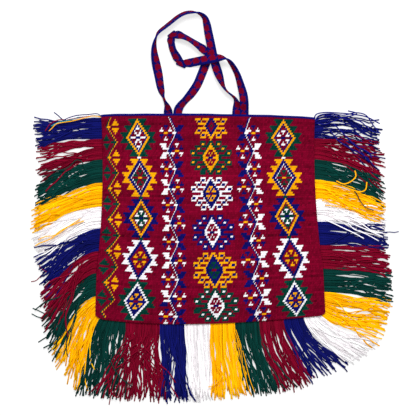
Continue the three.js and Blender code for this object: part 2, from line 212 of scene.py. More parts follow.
class Board:
    """A node tree, with short calls to add nodes and join them."""

    def __init__(self, tree: bpy.types.NodeTree) -> None:
        """Starts the tree empty."""
        self.tree = tree
        tree.nodes.clear()

    def add(self, kind: str, **settings: object) -> bpy.types.Node:
        """Adds a node.

        Args:
            kind: its type's name.
            settings: its properties and their values.

        Returns:
            The node.
        """
        node = self.tree.nodes.new(kind)
        for key, value in settings.items():
            setattr(node, key, value)
        return node

    def join(self, source: object, target: bpy.types.NodeSocket) -> None:
        """Joins a socket to a target, or sets the target to a plain value.

        Args:
            source: a socket, or a number.
            target: the socket that takes it.
        """
        if isinstance(source, bpy.types.NodeSocket):
            self.tree.links.new(source, target)
        else:
            target.default_value = source

    def math(self, operation: str, a: object, b: object = 0.0) -> bpy.types.NodeSocket:
        """Works out one step with a Math node.

        Args:
            operation: the node's operation.
            a: its first socket or number.
            b: its second one.

        Returns:
            The result.
        """
        node = self.add("ShaderNodeMath", operation=operation)
        self.join(a, node.inputs[0])
        self.join(b, node.inputs[1])
        return node.outputs[0]

    def noise(self, place: bpy.types.NodeSocket, scale: object, detail: float) -> bpy.types.NodeSocket:
        """A Noise texture.

        Args:
            place: where it is read.
            scale: its scale, a socket or a number.
            detail: its octaves.

        Returns:
            Its factor, from 0 to 1.
        """
        node = self.add("ShaderNodeTexNoise", noise_dimensions="3D")
        node.inputs["Detail"].default_value = detail
        self.join(place, node.inputs["Vector"])
        self.join(scale, node.inputs["Scale"])
        return node.outputs[0]


def wool_group() -> bpy.types.NodeTree:
    """The node group of dyed wool yarn: uneven dye, fibres that catch the light, and plies.

    The plies are a sine of the place round the yarn times their number plus the place along it.
    The dye is multiplied by a tone: one, plus a drift over centimetres, a flicker fibre by fibre,
    the painted shade between the plies and a painted highlight on the fibre ends that stand out.

    Returns:
        The group, made once.
    """
    name = "dyed_wool_yarn"
    if name in bpy.data.node_groups:
        return bpy.data.node_groups[name]
    group = bpy.data.node_groups.new(name, "ShaderNodeTree")
    face = group.interface
    numbers = {"Plies": 2.0, "Drift": 0.2, "Drift Scale": 60.0, "Fibre": 0.3, "Fibre Scale": 1800.0}
    numbers |= {"Bloom": 0.05, "Hollow": 0.22}
    colour, number = "NodeSocketColor", "NodeSocketFloat"
    face.new_socket(name="Dye", in_out="INPUT", socket_type=colour)
    for label, value in numbers.items():
        face.new_socket(name=label, in_out="INPUT", socket_type=number).default_value = value
    for label, kind in (("Colour", colour), ("Roughness", number), ("Height", number)):
        face.new_socket(name=label, in_out="OUTPUT", socket_type=kind)
    board = Board(group)
    given = board.add("NodeGroupInput").outputs
    result = board.add("NodeGroupOutput")
    place = board.add("ShaderNodeTexCoord").outputs["Object"]
    yarn = board.add("ShaderNodeUVMap", uv_map="yarn").outputs[0]
    split = board.add("ShaderNodeSeparateXYZ")
    board.join(yarn, split.inputs[0])
    turns = board.math("ADD", board.math("MULTIPLY", split.outputs[0], given["Plies"]), split.outputs[1])
    plies = board.math("SINE", board.math("MULTIPLY", turns, TAU))
    hollow = board.math("MULTIPLY_ADD", plies, 0.5)
    hollow.node.inputs[2].default_value = 0.5
    drift = board.noise(place, given["Drift Scale"], 2.0)
    fibre = board.noise(place, given["Fibre Scale"], 3.0)
    drifted = board.math("MULTIPLY", board.math("SUBTRACT", drift, 0.5), given["Drift"])
    flicker = board.math("MULTIPLY", board.math("SUBTRACT", fibre, 0.5), given["Fibre"])
    # Painted shade in the hollows between the plies
    shade = board.math("MULTIPLY", board.math("SUBTRACT", hollow, 0.6), given["Hollow"])
    # Painted highlight on the fibre ends that stand out
    ends = board.math("MULTIPLY", board.math("POWER", fibre, 3.0), given["Bloom"])
    tone = board.math("ADD", board.math("ADD", drifted, flicker), board.math("ADD", shade, ends))
    scaled = board.add("ShaderNodeVectorMath", operation="SCALE")
    board.join(given["Dye"], scaled.inputs[0])
    board.join(board.math("ADD", tone, 1.0), scaled.inputs["Scale"])
    board.join(scaled.outputs[0], result.inputs["Colour"])
    rough = board.math("ADD", board.math("MULTIPLY", fibre, 0.25), 0.75)
    board.join(rough, result.inputs["Roughness"])
    relief = board.math("ADD", board.math("MULTIPLY", hollow, 0.7), board.math("MULTIPLY", fibre, 0.5))
    board.join(relief, result.inputs["Height"])
    return group


@dataclass(frozen=True)
class WoolFinish:
    """One kind of wool as it is spun and worked."""

    name: str  # the material's name
    slot: str  # the name of a material slot
    plies: float = 2.0  # strands that show round one turn of the yarn
    drift: float = 0.25  # how far the dye wanders in tone
    drift_scale: float = 60.0  # how many times a metre the tone wanders
    fibre: float = 0.35  # how much single fibres flicker
    bloom: float = 0.06  # strength of the painted highlight on the fibre ends that stand out
    relief: float = 0.25  # height of plies and fibres in millimetres
    hollow: float = 0.22  # how much darker the hollows between the plies are painted, a painted shade
    gloss: float = 0.03  # strength of the plain reflection
    bump: float = 0.8  # strength with which the relief turns the light

    def material(self) -> bpy.types.Material:
        """Mixes the wool's material from the dyed wool group.

        Returns:
            The material, made once for each finish.
        """
        if self.name in bpy.data.materials:
            return bpy.data.materials[self.name]
        made = bpy.data.materials.new(self.name)
        made.use_nodes = True
        board = Board(made.node_tree)
        dye = board.add("ShaderNodeAttribute", attribute_type="GEOMETRY", attribute_name="dye")
        wool = board.add("ShaderNodeGroup", node_tree=wool_group())
        board.join(dye.outputs["Color"], wool.inputs["Dye"])
        settings = {"Plies": self.plies, "Drift": self.drift, "Drift Scale": self.drift_scale}
        settings |= {"Fibre": self.fibre, "Bloom": self.bloom, "Hollow": self.hollow}
        for label, value in settings.items():
            wool.inputs[label].default_value = value
        bump = board.add("ShaderNodeBump")
        bump.inputs["Strength"].default_value = self.bump
        bump.inputs["Distance"].default_value = self.relief * MM
        board.join(wool.outputs["Height"], bump.inputs["Height"])
        shader = board.add("ShaderNodeBsdfPrincipled")
        shader.inputs["Specular IOR Level"].default_value = self.gloss
        board.join(wool.outputs["Colour"], shader.inputs["Base Color"])
        board.join(wool.outputs["Roughness"], shader.inputs["Roughness"])
        board.join(bump.outputs[0], shader.inputs["Normal"])
        output = board.add("ShaderNodeOutputMaterial")
        board.join(shader.outputs[0], output.inputs["Surface"])
        return made


GROUND_WOOL = WoolFinish("crimson_stitches", "crimson_wool", drift=0.3, drift_scale=45.0)
BACK_WOOL = WoolFinish("plain_crimson_stitches", "crimson_wool", drift=0.35, drift_scale=30.0)
EDGING_WOOL = WoolFinish("navy_whipping", "navy_wool", plies=1.0, drift=0.3)
STRAP_WOOL = WoolFinish("handle_band_wool", "handle_weave", drift=0.3, drift_scale=70.0)


class FringeWool(Enum):
    """The wools of the fringe, each with its dye and its finish."""

    BLUE = (Dye.BLUE, WoolFinish("blue_fringe_yarn", "blue_wool", bloom=0.4, gloss=0.08))
    RED = (Dye.FRINGE_RED, WoolFinish("red_fringe_yarn", "crimson_wool", bloom=0.3, gloss=0.05))
    GREEN = (Dye.FRINGE_GREEN, WoolFinish("green_fringe_yarn", "green_wool", bloom=0.4, gloss=0.08))
    YELLOW = (
        Dye.FRINGE_YELLOW,
        WoolFinish("yellow_fringe_yarn", "yellow_wool", drift=0.1, hollow=0.1),
    )
    WHITE = (
        Dye.FRINGE_WHITE,
        WoolFinish(
            "white_fringe_yarn", "white_wool", drift=0.03, fibre=0.05, bloom=0.0, hollow=0.08, relief=0.15
        ),
    )


@dataclass(frozen=True)
class BodyOutline:
    """The woven body's outline and levels, the same as the frame's.

    u is -1 at the left side and 1 at the right, and v is 0 at the mouth and 1 at the hem.
    """

    mouth_width: float = 322.0
    hem_width: float = 346.0
    height: float = 305.6
    thickness: float = 3.0  # of one panel
    hem_shift: float = 3.6  # how far the hem slips to the right
    waist: float = 5.5  # how far each side is drawn in
    waist_share: float = 0.75  # share of the height in which it is drawn in
    mouth_drop: float = 3.9  # how much lower the mouth ends on the right
    mouth_crown: float = 3.4
    hem_rise: float = 4.1  # how much higher the hem ends on the right
    hem_sag: float = 10.5
    corner_radius: float = 7.0
    corner_share: float = 0.12  # outermost share of the half-width that a corner rounds
    edging_width: float = 3.3
    tuck: float = 0.5  # how far the panels reach under the whipped edge
    knot_thickness: float = 4.4
    knot_depth: float = 6.0  # how far the fringe's knots lie between the panels
    seam_width: float = 5.0
    clearance: float = 0.3
    mouth_gap: float = 7.1  # between the panels, in their middle
    edge_gap: float = 5.0  # between the panels, along their edges

    def point(self, u: np.ndarray, v: np.ndarray) -> np.ndarray:
        """A place on the body, at height 0.

        x is u times the half-width, less a sine arch that draws the waist in, plus the hem's slip
        to the right. The hem's corners are rounded inside the outermost share of the width. y runs
        straight from the crowned mouth to the sagging hem.

        Args:
            u: place across, from -1 to 1.
            v: place down, from 0 to 1.

        Returns:
            Points, with one more axis than u and v.
        """
        waist = self.waist * arc(v / self.waist_share) ** 0.7
        half = mix(self.mouth_width, self.hem_width, v) / 2 - waist
        into = np.maximum(0, 1 - (1 - v) * self.height / self.corner_radius)
        rounded = self.corner_radius * (1 - np.sqrt(np.maximum(0, 1 - into * into)))
        outer = np.clip((np.abs(u) - 1 + self.corner_share) / self.corner_share, 0, 1) ** 2
        across = (u + 1) / 2
        mouth = self.mouth_crown * arc(across) ** 0.6 - self.mouth_drop * across
        hem = self.hem_rise * across - self.hem_sag * arc(np.abs(across) ** 0.8)
        x = u * half - np.sign(u) * rounded * outer + self.hem_shift * v
        y = mix(self.height / 2 + mouth, hem - self.height / 2, v)
        return np.stack(np.broadcast_arrays(x, y, 0.0), axis=-1)

    def front_underside(self, u: np.ndarray, v: np.ndarray) -> np.ndarray:
        """Height of the front panel's underside, which is lowest along the panel's edges."""
        gap = (self.mouth_gap - self.edge_gap) * (1 - u**8) * (1 - v**8)
        return self.thickness + self.edge_gap + gap

    def back_underside(self, u: np.ndarray, v: np.ndarray) -> np.ndarray:
        """Height of the back panel's underside, which lies on the floor."""
        return np.zeros(np.broadcast(u, v).shape)

    @property
    def panel_start(self) -> float:
        """The v at which the panels begin, a little under the whipped edge."""
        return (self.edging_width - self.tuck) / self.height

    def from_side(self, depth: float) -> float:
        """The u at a depth inside the side."""
        return 1 - depth / (self.mouth_width / 2)

    def from_hem(self, depth: float) -> float:
        """The v at a depth above the hem."""
        return 1 - depth / self.height


BODY = BodyOutline()


class MotifChart:
    """The front's design, one dye a stitch. Rows run down from the mouth and columns to the right.

    Each motif is a shape drawn on the whole chart with comparisons of rows and columns.
    """

    DIAMOND, INNER_LINE, FIELD = 8, 6, 5  # rows from the middle to the tip of each diamond's part
    TOOTH_REACH = (2, 4, 6)  # how far the teeth stand out, row by row
    HOOKS = (  # top edge, middle, dot and where the lower edge starts, from the outermost column in
        ((-7, -4), (-7, -4), (-6, -5), -6),
        ((-11, -8), (-10, -7), (-9, -8), -9),
        ((-14, -11), (-14, -10), (-13, -12), -13),
    )
    WINDOWS = ((-3, -3), (-6, -4), (-9, -6))  # ground that shows between a hook and the diamond
    BLUNT, SLOPE = 0.6, 0.85  # how far a hooked diamond's side is cut back, and its columns a row
    STRAIGHTEN = 0.6  # share of the way that a zigzag's stitches lean to its straight course

    def __init__(self, rows: int, columns: int) -> None:
        """Starts with plain crimson ground.

        Args:
            rows: stitches down.
            columns: stitches across.
        """
        self.cells = np.full((rows, columns), CHART_CODE[Dye.CRIMSON])
        self.lines = np.zeros((rows, columns), dtype=bool)
        self.straighten = np.zeros((rows, columns + 1))
        self.row, self.column = np.indices(self.cells.shape)

    def paint(self, where: np.ndarray, dye: Dye) -> None:
        """Works the stitches of a mask in a dye."""
        self.cells[where] = CHART_CODE[dye]

    def run(self, row: int, first: int, last: int, dye: Dye) -> None:
        """Works one row's stitches from one column to another, both included, in a dye."""
        low, high = min(first, last), max(first, last)
        self.paint((self.row == row) & (self.column >= low) & (self.column <= high), dye)

    def triangle(self, row: int, column: int, way: int, levels: int, dye: Dye) -> None:
        """A small triangle.

        Args:
            row: the row of its base.
            column: the column of its middle.
            way: 1 where it points down, -1 where it points up.
            levels: its rows.
            dye: its wool.
        """
        down = (self.row - row) * way
        width = levels - 1 - down
        self.paint((down >= 0) & (down < levels) & (np.abs(self.column - column) <= width), dye)

    def rosette(self, row: int, column: int, reach: int, dyes: Sequence[Dye]) -> None:
        """Six triangles round a bar of three stitches.

        Args:
            row: the middle row.
            column: the middle column.
            reach: how far the side triangles lie from the middle.
            dyes: those pointing down, those pointing up, and the bar.
        """
        down, upward, heart = dyes
        self.triangle(row - 3, column, 1, 2, down)
        self.triangle(row + 3, column, -1, 2, upward)
        for side in (-reach, reach):
            self.triangle(row - 1, column + side, -1, 2, upward)
            self.triangle(row + 1, column + side, 1, 2, down)
        self.run(row, column - 1, column + 1, heart)

    def toothed_diamond(self, row: int, column: int, dyes: Sequence[Dye]) -> None:
        """A diamond of 17 rows with three comb teeth on each of its four sides.

        Args:
            row: the middle row.
            column: the middle column.
            dyes: teeth, outline, inner line, field, rosette and its heart.
        """
        teeth, outline, line, ground, flower, heart = dyes
        up, across = np.abs(self.row - row), np.abs(self.column - column)
        reach = np.take(self.TOOTH_REACH, up % len(self.TOOTH_REACH))
        self.paint((up <= self.DIAMOND) & (across <= self.DIAMOND - up + reach), teeth)
        self.paint(up + across <= self.DIAMOND, outline)
        self.paint(up + across <= self.INNER_LINE, line)
        self.paint(up + across <= self.FIELD, ground)
        self.rosette(row, column, 3, (flower, flower, heart))

    def hooked_diamond(self, row: int, column: int, dyes: Sequence[Dye], arms: int = 3) -> None:
        """A diamond that carries hooked arms with a dot in each hook.

        Args:
            row: the middle row.
            column: the middle column.
            dyes: arms, dots, diamond, rosette and its heart.
            arms: hooks on each of the four sides.
        """
        hooks, dots, diamond, flower, heart = dyes
        half, small = 2 * arms, arms < 3
        up, across = np.abs(self.row - row), np.abs(self.column - column)
        side = half - up if small else half - self.BLUNT - self.SLOPE * up
        border = np.minimum(np.rint(side + 2), half + 1)
        self.paint((across <= border) & (up <= half + 1 + small), hooks)
        for number, (top, middle, dot, low) in enumerate(self.HOOKS[:arms]):
            level = 2 * (arms - number)
            spans = (
                (level + 1, top, hooks),
                (level, middle, hooks),
                (level, dot, dots),
                (level - 1, (low, 1), hooks),
                (level, self.WINDOWS[number], Dye.CRIMSON),
            )
            for mirror, way in ((-1, -1), (-1, 1), (1, -1), (1, 1)):
                for away, (first, last), dye in spans:
                    self.run(row + way * away, column - mirror * first, column - mirror * last, dye)
        self.paint((across <= np.rint(side)) & (up <= half), diamond)
        if small:
            self.paint(up + across <= 2, Dye.CRIMSON)
            self.run(row, column, column, heart)
        else:
            self.rosette(row, column, 2, (flower, flower, heart))

    def zigzag(self, turns: Sequence[tuple[int, int]], dyes: Sequence[Dye]) -> None:
        """A line of two stitches side by side that runs from turn to turn.

        Its sides are moved toward the straight course, by a share of the distance from each row's
        whole column to it.

        Args:
            turns: row and left column of each turn.
            dyes: the left stitch and the right one.
        """
        rows, columns = zip(*turns)
        course = np.interp(self.row, rows, columns)
        line = np.rint(course)
        inside = (self.row >= rows[0]) & (self.row <= rows[-1])
        self.paint(inside & (self.column == line), dyes[0])
        self.paint(inside & (self.column == line + 1), dyes[1])
        pair = inside & ((self.column == line) | (self.column == line + 1))
        self.lines |= pair
        moved = self.STRAIGHTEN * (course - line)
        self.straighten[:, :-1] += pair * moved
        self.straighten[:, 1:] += (inside & (self.column == line + 1)) * moved

    def cells_beside(
        self, turn: tuple[int, int], spans: dict[int, tuple[int, int]], flip: bool, dye: Dye
    ) -> None:
        """Works spans of stitches beside a zigzag's turn.

        Args:
            turn: its row and left column.
            spans: for each row from the turn, the first and last stitch from its left column.
            flip: whether the spans lie mirrored about the two stitches of the line.
            dye: their wool.
        """
        row, column = turn
        for down, (first, last) in spans.items():
            ends = (column + 1 - first, column + 1 - last) if flip else (column + first, column + last)
            self.run(row + down, *ends, dye)


def both_ways(spans: Sequence[tuple[int, int]]) -> dict[int, tuple[int, int]]:
    """Spans of stitches at one, two and more rows from a turn, the same above and below it."""
    return {way * k: span for k, span in enumerate(spans, 1) for way in (-1, 1)}


LEAF = both_ways([(1, 3), (1, 4), (2, 5)])
HORN = both_ways([(-3, 0), (-4, -1), (-5, -1)])


def diamond_columns(chart: MotifChart) -> None:
    """The two columns of toothed diamonds, with a short bar between each and the next.

    Args:
        chart: the chart to work them on.
    """
    n, c, y, w, g = Dye.NAVY, Dye.CRIMSON, Dye.YELLOW, Dye.WHITE, Dye.GREEN
    left, right = 26, 129
    diamonds = (
        (10, (g, y, n, w, c, n), (g, y, n, c, w, n)),
        (28, (y, n, w, c, g, y), (y, n, w, c, g, y)),
        (46, (n, y, c, g, w, n), (n, y, c, g, w, n)),
        (64, (w, n, c, c, y, g), (w, n, c, c, y, g)),
        (82, (g, w, n, n, y, c), (g, w, n, n, y, c)),
    )
    for row, at_left, at_right in diamonds:
        chart.toothed_diamond(row, left, at_left)
        chart.toothed_diamond(row, right, at_right)
    for column in (left, right):
        for row, dye in ((19, w), (37, g), (55, g), (73, g)):
            chart.run(row, column - 1, column + 1, dye)


def middle_column(chart: MotifChart) -> None:
    """The middle column: a small hooked diamond cut off by the mouth, and five large ones.

    Args:
        chart: the chart to work them on.
    """
    n, c, y, w, g = Dye.NAVY, Dye.CRIMSON, Dye.YELLOW, Dye.WHITE, Dye.GREEN
    middle, reach = 78, 20
    chart.hooked_diamond(5, middle, (y, n, n, c, g), arms=2)
    chart.paint((chart.row < 2) & (np.abs(chart.column - middle) < reach), c)
    hooked = (
        (19, (g, y, y, c, n)),
        (35, (w, n, n, y, c)),
        (52, (n, w, w, c, n)),
        (68, (y, n, n, g, c)),
        (83, (g, w, w, c, n)),
    )
    for row, dyes in hooked:
        chart.hooked_diamond(row, middle, dyes)
    chart.run(25, 72, 73, g)
    chart.run(85, 65, 66, g)


def leaf_border(chart: MotifChart) -> None:
    """The left border: a zigzag with a stem and a pair of triangles in each of its bays.

    Args:
        chart: the chart to work them on.
    """
    left, right, stem, away = 3, 10, 3, 7
    turns = [(1, 6)] + [(5 + 7 * k, right if k % 2 else left) for k in range(12)] + [(88, 3), (90, 5)]
    chart.zigzag(turns, (Dye.GREEN, Dye.YELLOW))
    for row, column in turns[1:-2]:
        side, dye = (-1, Dye.GREEN) if column == right else (1, Dye.YELLOW)
        chart.run(row, column + side, column + side * stem, dye)
        chart.triangle(row - 1, column + side * away, -1, 3, dye)
        chart.triangle(row + 1, column + side * away, 1, 3, dye)


class Flower(Enum):
    """The dyes of a border's rosette: triangles pointing down, those pointing up, bar and cap."""

    NAVY_DOWN = (Dye.NAVY, Dye.WHITE, Dye.YELLOW, Dye.NAVY)
    WHITE_DOWN = (Dye.WHITE, Dye.NAVY, Dye.YELLOW, Dye.WHITE)
    NAVY_CAP = (Dye.WHITE, Dye.NAVY, Dye.YELLOW, Dye.NAVY)

    def work(self, chart: MotifChart, row: int, column: int) -> None:
        """Works the rosette, and then its cap, the topmost triangle.

        Args:
            chart: the chart to work it on.
            row: its middle row.
            column: its middle column.
        """
        *dyes, cap = self.value
        chart.rosette(row, column, 3, dyes)
        chart.triangle(row - 3, column, 1, 2, cap)


def flower_border(
    chart: MotifChart, flip: bool, near: int, far: int, start: int, flowers: Sequence[Flower]
) -> None:
    """A zigzag with leaves, horns and rosettes in its bays.

    Args:
        chart: the chart to work it on.
        flip: whether it is the mirrored border on the right.
        near: left column of the turns that carry horns.
        far: left column of the turns that carry leaves.
        start: left column of the line at the mouth.
        flowers: the rosettes of the horned turns, from the mouth down.
    """
    n, w = Dye.NAVY, Dye.WHITE
    away = -7 if flip else 7
    turns = [(8 * k, far if k % 2 else near) for k in range(1, 12)]
    chart.zigzag([(1, start), *turns, (91, mix(far, near, 0.4))], (n, w) if flip else (w, n))
    for number, turn in enumerate(turns):
        row, column = turn
        if column == far:
            chart.cells_beside(turn, LEAF, flip, n)
            chart.cells_beside(turn, {0: (-2, 0)}, flip, w)
            Flower.NAVY_DOWN.work(chart, row, column - away)
        else:
            chart.cells_beside(turn, HORN, flip, w)
            chart.cells_beside(turn, {0: (1, 3)}, flip, n)
            flowers[number // 2].work(chart, row, column + away)


def front_chart(rows: int, columns: int) -> MotifChart:
    """The whole design of the front: six columns of motifs on crimson.

    Args:
        rows: stitches down.
        columns: stitches across.

    Returns:
        The chart, with every motif on it.
    """
    chart = MotifChart(rows, columns)
    diamond_columns(chart)
    middle_column(chart)
    leaf_border(chart)
    navy, white, capped = Flower.NAVY_DOWN, Flower.WHITE_DOWN, Flower.NAVY_CAP
    flower_border(chart, False, 47, 53, 48, (white, white, white, white, navy))
    flower_border(chart, True, 107, 101, 105, (navy, white, white, capped, navy))
    chart.cells_beside((80, 47), {2: HORN[2], 3: HORN[3]}, False, Dye.NAVY)
    return chart


def stitch_patches(
    lattice: np.ndarray, dyes: np.ndarray, height: np.ndarray, ring: bool
) -> tuple[np.ndarray, list[Patch]]:
    """Slanted stitches over a lattice, one a cell, each a long hip roof with two ridge points.

    The lattice has two places to a stitch. A stitch's upper edge starts one place further on than
    its lower edge, so the rows lie as bricks do. Its ridge points are lifted along its own normal.

    Args:
        lattice: points, rows by places by 3.
        dyes: one linear colour a stitch, rows by stitches by 3.
        height: lift of the ridge for each stitch.
        ring: whether the places close round into a ring.

    Returns:
        The lattice points followed by the ridge points, and the patches of faces.
    """
    rows, places = lattice.shape[0] - 1, lattice.shape[1]
    count = dyes.shape[1]
    j, c = np.indices((rows, count))

    def number(row: np.ndarray, place: np.ndarray) -> np.ndarray:
        """The numbers of lattice points."""
        return row * places + (place % places if ring else place)

    top = [number(j, 2 * c + k) for k in (1, 2, 3)]
    low = [number(j + 1, 2 * c + k) for k in (0, 1, 2)]
    flat = lattice.reshape(-1, 3)
    above = (flat[top[0]] + flat[top[2]]) / 2
    below = (flat[low[0]] + flat[low[2]]) / 2
    normal = unit(np.cross(flat[top[2]] - flat[low[0]], flat[top[0]] - flat[low[2]]))
    lift = normal * height[..., None]
    ridges = np.stack([mix(above, below, end) + lift for end in RIDGE_ENDS], axis=2)
    first = (rows + 1) * places + 2 * (j * count + c)
    corners = dict(zip("abcdefpq", (*top, *low, first, first + 1)))
    spots = dict(zip("abcdef", ((0, 0), (0.5, 0), (1, 0), (0, 1), (0.5, 1), (1, 1))))
    spots |= {"p": (0.5, RIDGE_ENDS[0]), "q": (0.5, RIDGE_ENDS[1])}
    cell = np.stack([c.ravel(), j.ravel()], axis=1)[:, None]
    patches = []
    for outline in ("apb", "bpc", "adqp", "cpqf", "deq", "efq"):
        faces = np.stack([corners[name].ravel() for name in outline], axis=1)
        yarn = np.array([spots[name] for name in outline])[None] + cell
        # Painted shade in the grooves between stitches and a painted highlight along each ridge
        tones = [RIDGE_PAINTED_HIGHLIGHT if name in "pq" else GROOVE_PAINTED_SHADE for name in outline]
        patches.append(Patch(faces, dyes.reshape(-1, 3), yarn, tones))
    return np.concatenate([flat, ridges.reshape(-1, 3)]), patches


@dataclass
class WovenPanel:
    """One of the two woven panels: slanted stitches outside, plain rows inside."""

    name: str
    replaces: str  # the frame's node that the piece stands for
    chart: MotifChart  # the dye of each stitch
    front: bool  # whether it is the patterned front, whose stitches face up
    finish: WoolFinish
    seed: int
    stitch_height: float = 0.5
    valley_depth: float = 0.6  # how far the valleys between the stitches lie under the panel's face
    looseness: float = 0.1  # spread of the lattice points in plan
    edge_round: float = 3.0  # width in which the panel thins toward its edges
    edge_share: float = 0.35  # share of the thickness that is left at an edge
    tone_spread: float = 0.14  # of single stitches
    row_spread: float = 0.09  # of whole rows
    streak: float = 0.09  # of stretches of a row
    streak_length: int = 9  # stitches in a stretch
    pale_calm: float = 0.7  # how much less the pale dyes vary
    squeeze: float = 0.2  # how far pale stitches crowd dark ones beside them, in stitches
    squeeze_rows: float = 0.14  # how far they crowd dark ones above and below, in rows
    line_weight: float = 0.5  # how much paler a zigzag's line counts in this
    plain_tone: float = 0.92  # brightness of the plain inside
    drift_play: float = 6.0  # rows past the marked ones up to which a column goes on drifting
    row_marks: tuple[float, ...] = (0, 2, 10.5, 28.5, 46.5, 64.5, 82.5, 92)
    row_places: tuple[tuple[float, ...], ...] = (
        (0.0092, 0.0235, 0.1142, 0.3062, 0.4996, 0.6961, 0.8980, 1.0),
        (0.0092, 0.0178, 0.1103, 0.3062, 0.4949, 0.7018, 0.9114, 1.0),
    )
    measured_at: tuple[float, float] = (-0.645, 0.715)
    drift_rows: tuple[float, ...] = (10.5, 28.5, 46.5, 64.5, 82.5)
    column_marks: tuple[float, ...] = (7.5, 26.5, 50.5, 78.5, 104.5, 129.5)
    column_places: tuple[tuple[float, ...], ...] = (
        (-0.9143, -0.9006, -0.8868, -0.8665, -0.8846),
        (-0.6623, -0.6424, -0.6323, -0.6235, -0.6519),
        (-0.3473, -0.3478, -0.3252, -0.3176, -0.3210),
        (0.0241, 0.0186, 0.0200, 0.0348, 0.0490),
        (0.3731, 0.3861, 0.3872, 0.4017, 0.4094),
        (0.7052, 0.7103, 0.7199, 0.7351, 0.7455),
    )

    def warp(self, column: np.ndarray, row: np.ndarray) -> tuple[np.ndarray, np.ndarray]:
        """Where the weave's columns and rows lie, because hand weaving drifts.

        Each marked column's u is a cubic of the row through its measured places, the others lie
        straight between their neighbours, and the edges stay at -1 and 1. A row's v runs straight
        from its place at the left diamonds to that at the right ones.

        Args:
            column: columns of the lattice points, one array row for each row of the lattice.
            row: rows of the lattice.

        Returns:
            u and v for every lattice point.
        """
        near = np.clip(row, self.drift_rows[0] - self.drift_play, self.drift_rows[-1] + self.drift_play)
        marks = [np.polyval(np.polyfit(self.drift_rows, spots, 3), near) for spots in self.column_places]
        anchors = np.stack([-np.ones_like(near), *marks, np.ones_like(near)])
        places = np.array([0, *self.column_marks, self.chart.cells.shape[1]])
        index = np.clip(np.searchsorted(places, column, side="right") - 1, 0, len(places) - 2)
        share = (column - places[index]) / (places[index + 1] - places[index])
        level = np.arange(len(row))[:, None]
        u = mix(anchors[index, level], anchors[index + 1, level], share)
        left, right = (np.interp(row, self.row_marks, spots)[:, None] for spots in self.row_places)
        v = mix(left, right, (u - self.measured_at[0]) / (self.measured_at[1] - self.measured_at[0]))
        v[0], v[-1] = BODY.panel_start, 1.0
        return u, v

    def _plan(self, rng: np.random.Generator) -> tuple[np.ndarray, np.ndarray, np.ndarray]:
        """The lattice in plan, where pale stitches crowd their dark neighbours.

        Args:
            rng: the panel's random draws.

        Returns:
            The points at height 0, and their u and v.
        """
        rows, columns = self.chart.cells.shape
        spots = np.tile(np.arange(2 * columns + 2) / 2 - LEAN, (rows + 1, 1))
        pale = LIGHTNESS[self.chart.cells] + self.line_weight * self.chart.lines
        edges = np.diff(np.pad(pale, ((0, 0), (1, 1)), mode="edge"), axis=1) * self.squeeze
        edges += self.chart.straighten
        spots[:-1, 1::2] += edges
        spots[1:, 0::2] += edges
        u, v = self.warp(np.clip(spots, 0, columns), np.arange(rows + 1.0))
        wide = np.pad(pale, ((1, 1), (1, 1)), mode="edge")
        between, within = (wide[:, :-1] + wide[:, 1:]) / 2, wide[:, 1:]
        above = np.stack([between[:-1], within[:-1]], axis=2).reshape(rows + 1, -1)
        below = np.stack([wide[1:, :-1], between[1:]], axis=2).reshape(rows + 1, -1)
        v = v + (below - above) * self.squeeze_rows / rows * np.sin(math.pi * v) ** 0.5
        plan = BODY.point(u, v)
        loose = rng.normal(0, self.looseness, plan.shape[:2] + (2,))
        loose[[0, -1]] = 0
        loose[:, [0, -1]] = 0
        plan[..., :2] += loose
        return plan, u, v

    def lattice(self, rng: np.random.Generator) -> tuple[np.ndarray, np.ndarray]:
        """The lattice points of both faces.

        The faces come together toward the panel's edges along a quarter circle, to a share of the
        full thickness.

        Args:
            rng: the panel's random draws.

        Returns:
            The outer face's points, which carry the stitches, and the inner face's.
        """
        plan, u, v = self._plan(rng)
        underside = BODY.front_underside if self.front else BODY.back_underside
        half = BODY.mouth_width / 2
        depth = np.minimum((1 - np.abs(u)) * half, np.minimum(v - BODY.panel_start, 1 - v) * BODY.height)
        share = np.clip(depth / self.edge_round, 0, 1)
        swell = self.edge_share + (1 - self.edge_share) * np.sqrt(1 - (1 - share) ** 2)
        middle, half_thick = underside(u, v) + BODY.thickness / 2, BODY.thickness / 2 * swell
        upper, lower = plan.copy(), plan.copy()
        upper[..., 2] = middle + half_thick
        lower[..., 2] = middle - half_thick
        if self.front:
            upper[..., 2] -= self.valley_depth
            return upper, lower
        lower[..., 2] += self.valley_depth
        return lower, upper

    def streaks(self, rng: np.random.Generator) -> np.ndarray:
        """Tone that drifts along each row: straight lines between random values.

        Args:
            rng: the panel's random draws.

        Returns:
            The change in tone of every stitch.
        """
        rows, columns = self.chart.cells.shape
        knots = rng.normal(0, self.streak, (rows, columns // self.streak_length + 2))
        place = np.arange(columns) / self.streak_length
        first = place.astype(int)
        return mix(knots[:, first], knots[:, first + 1], place - first)

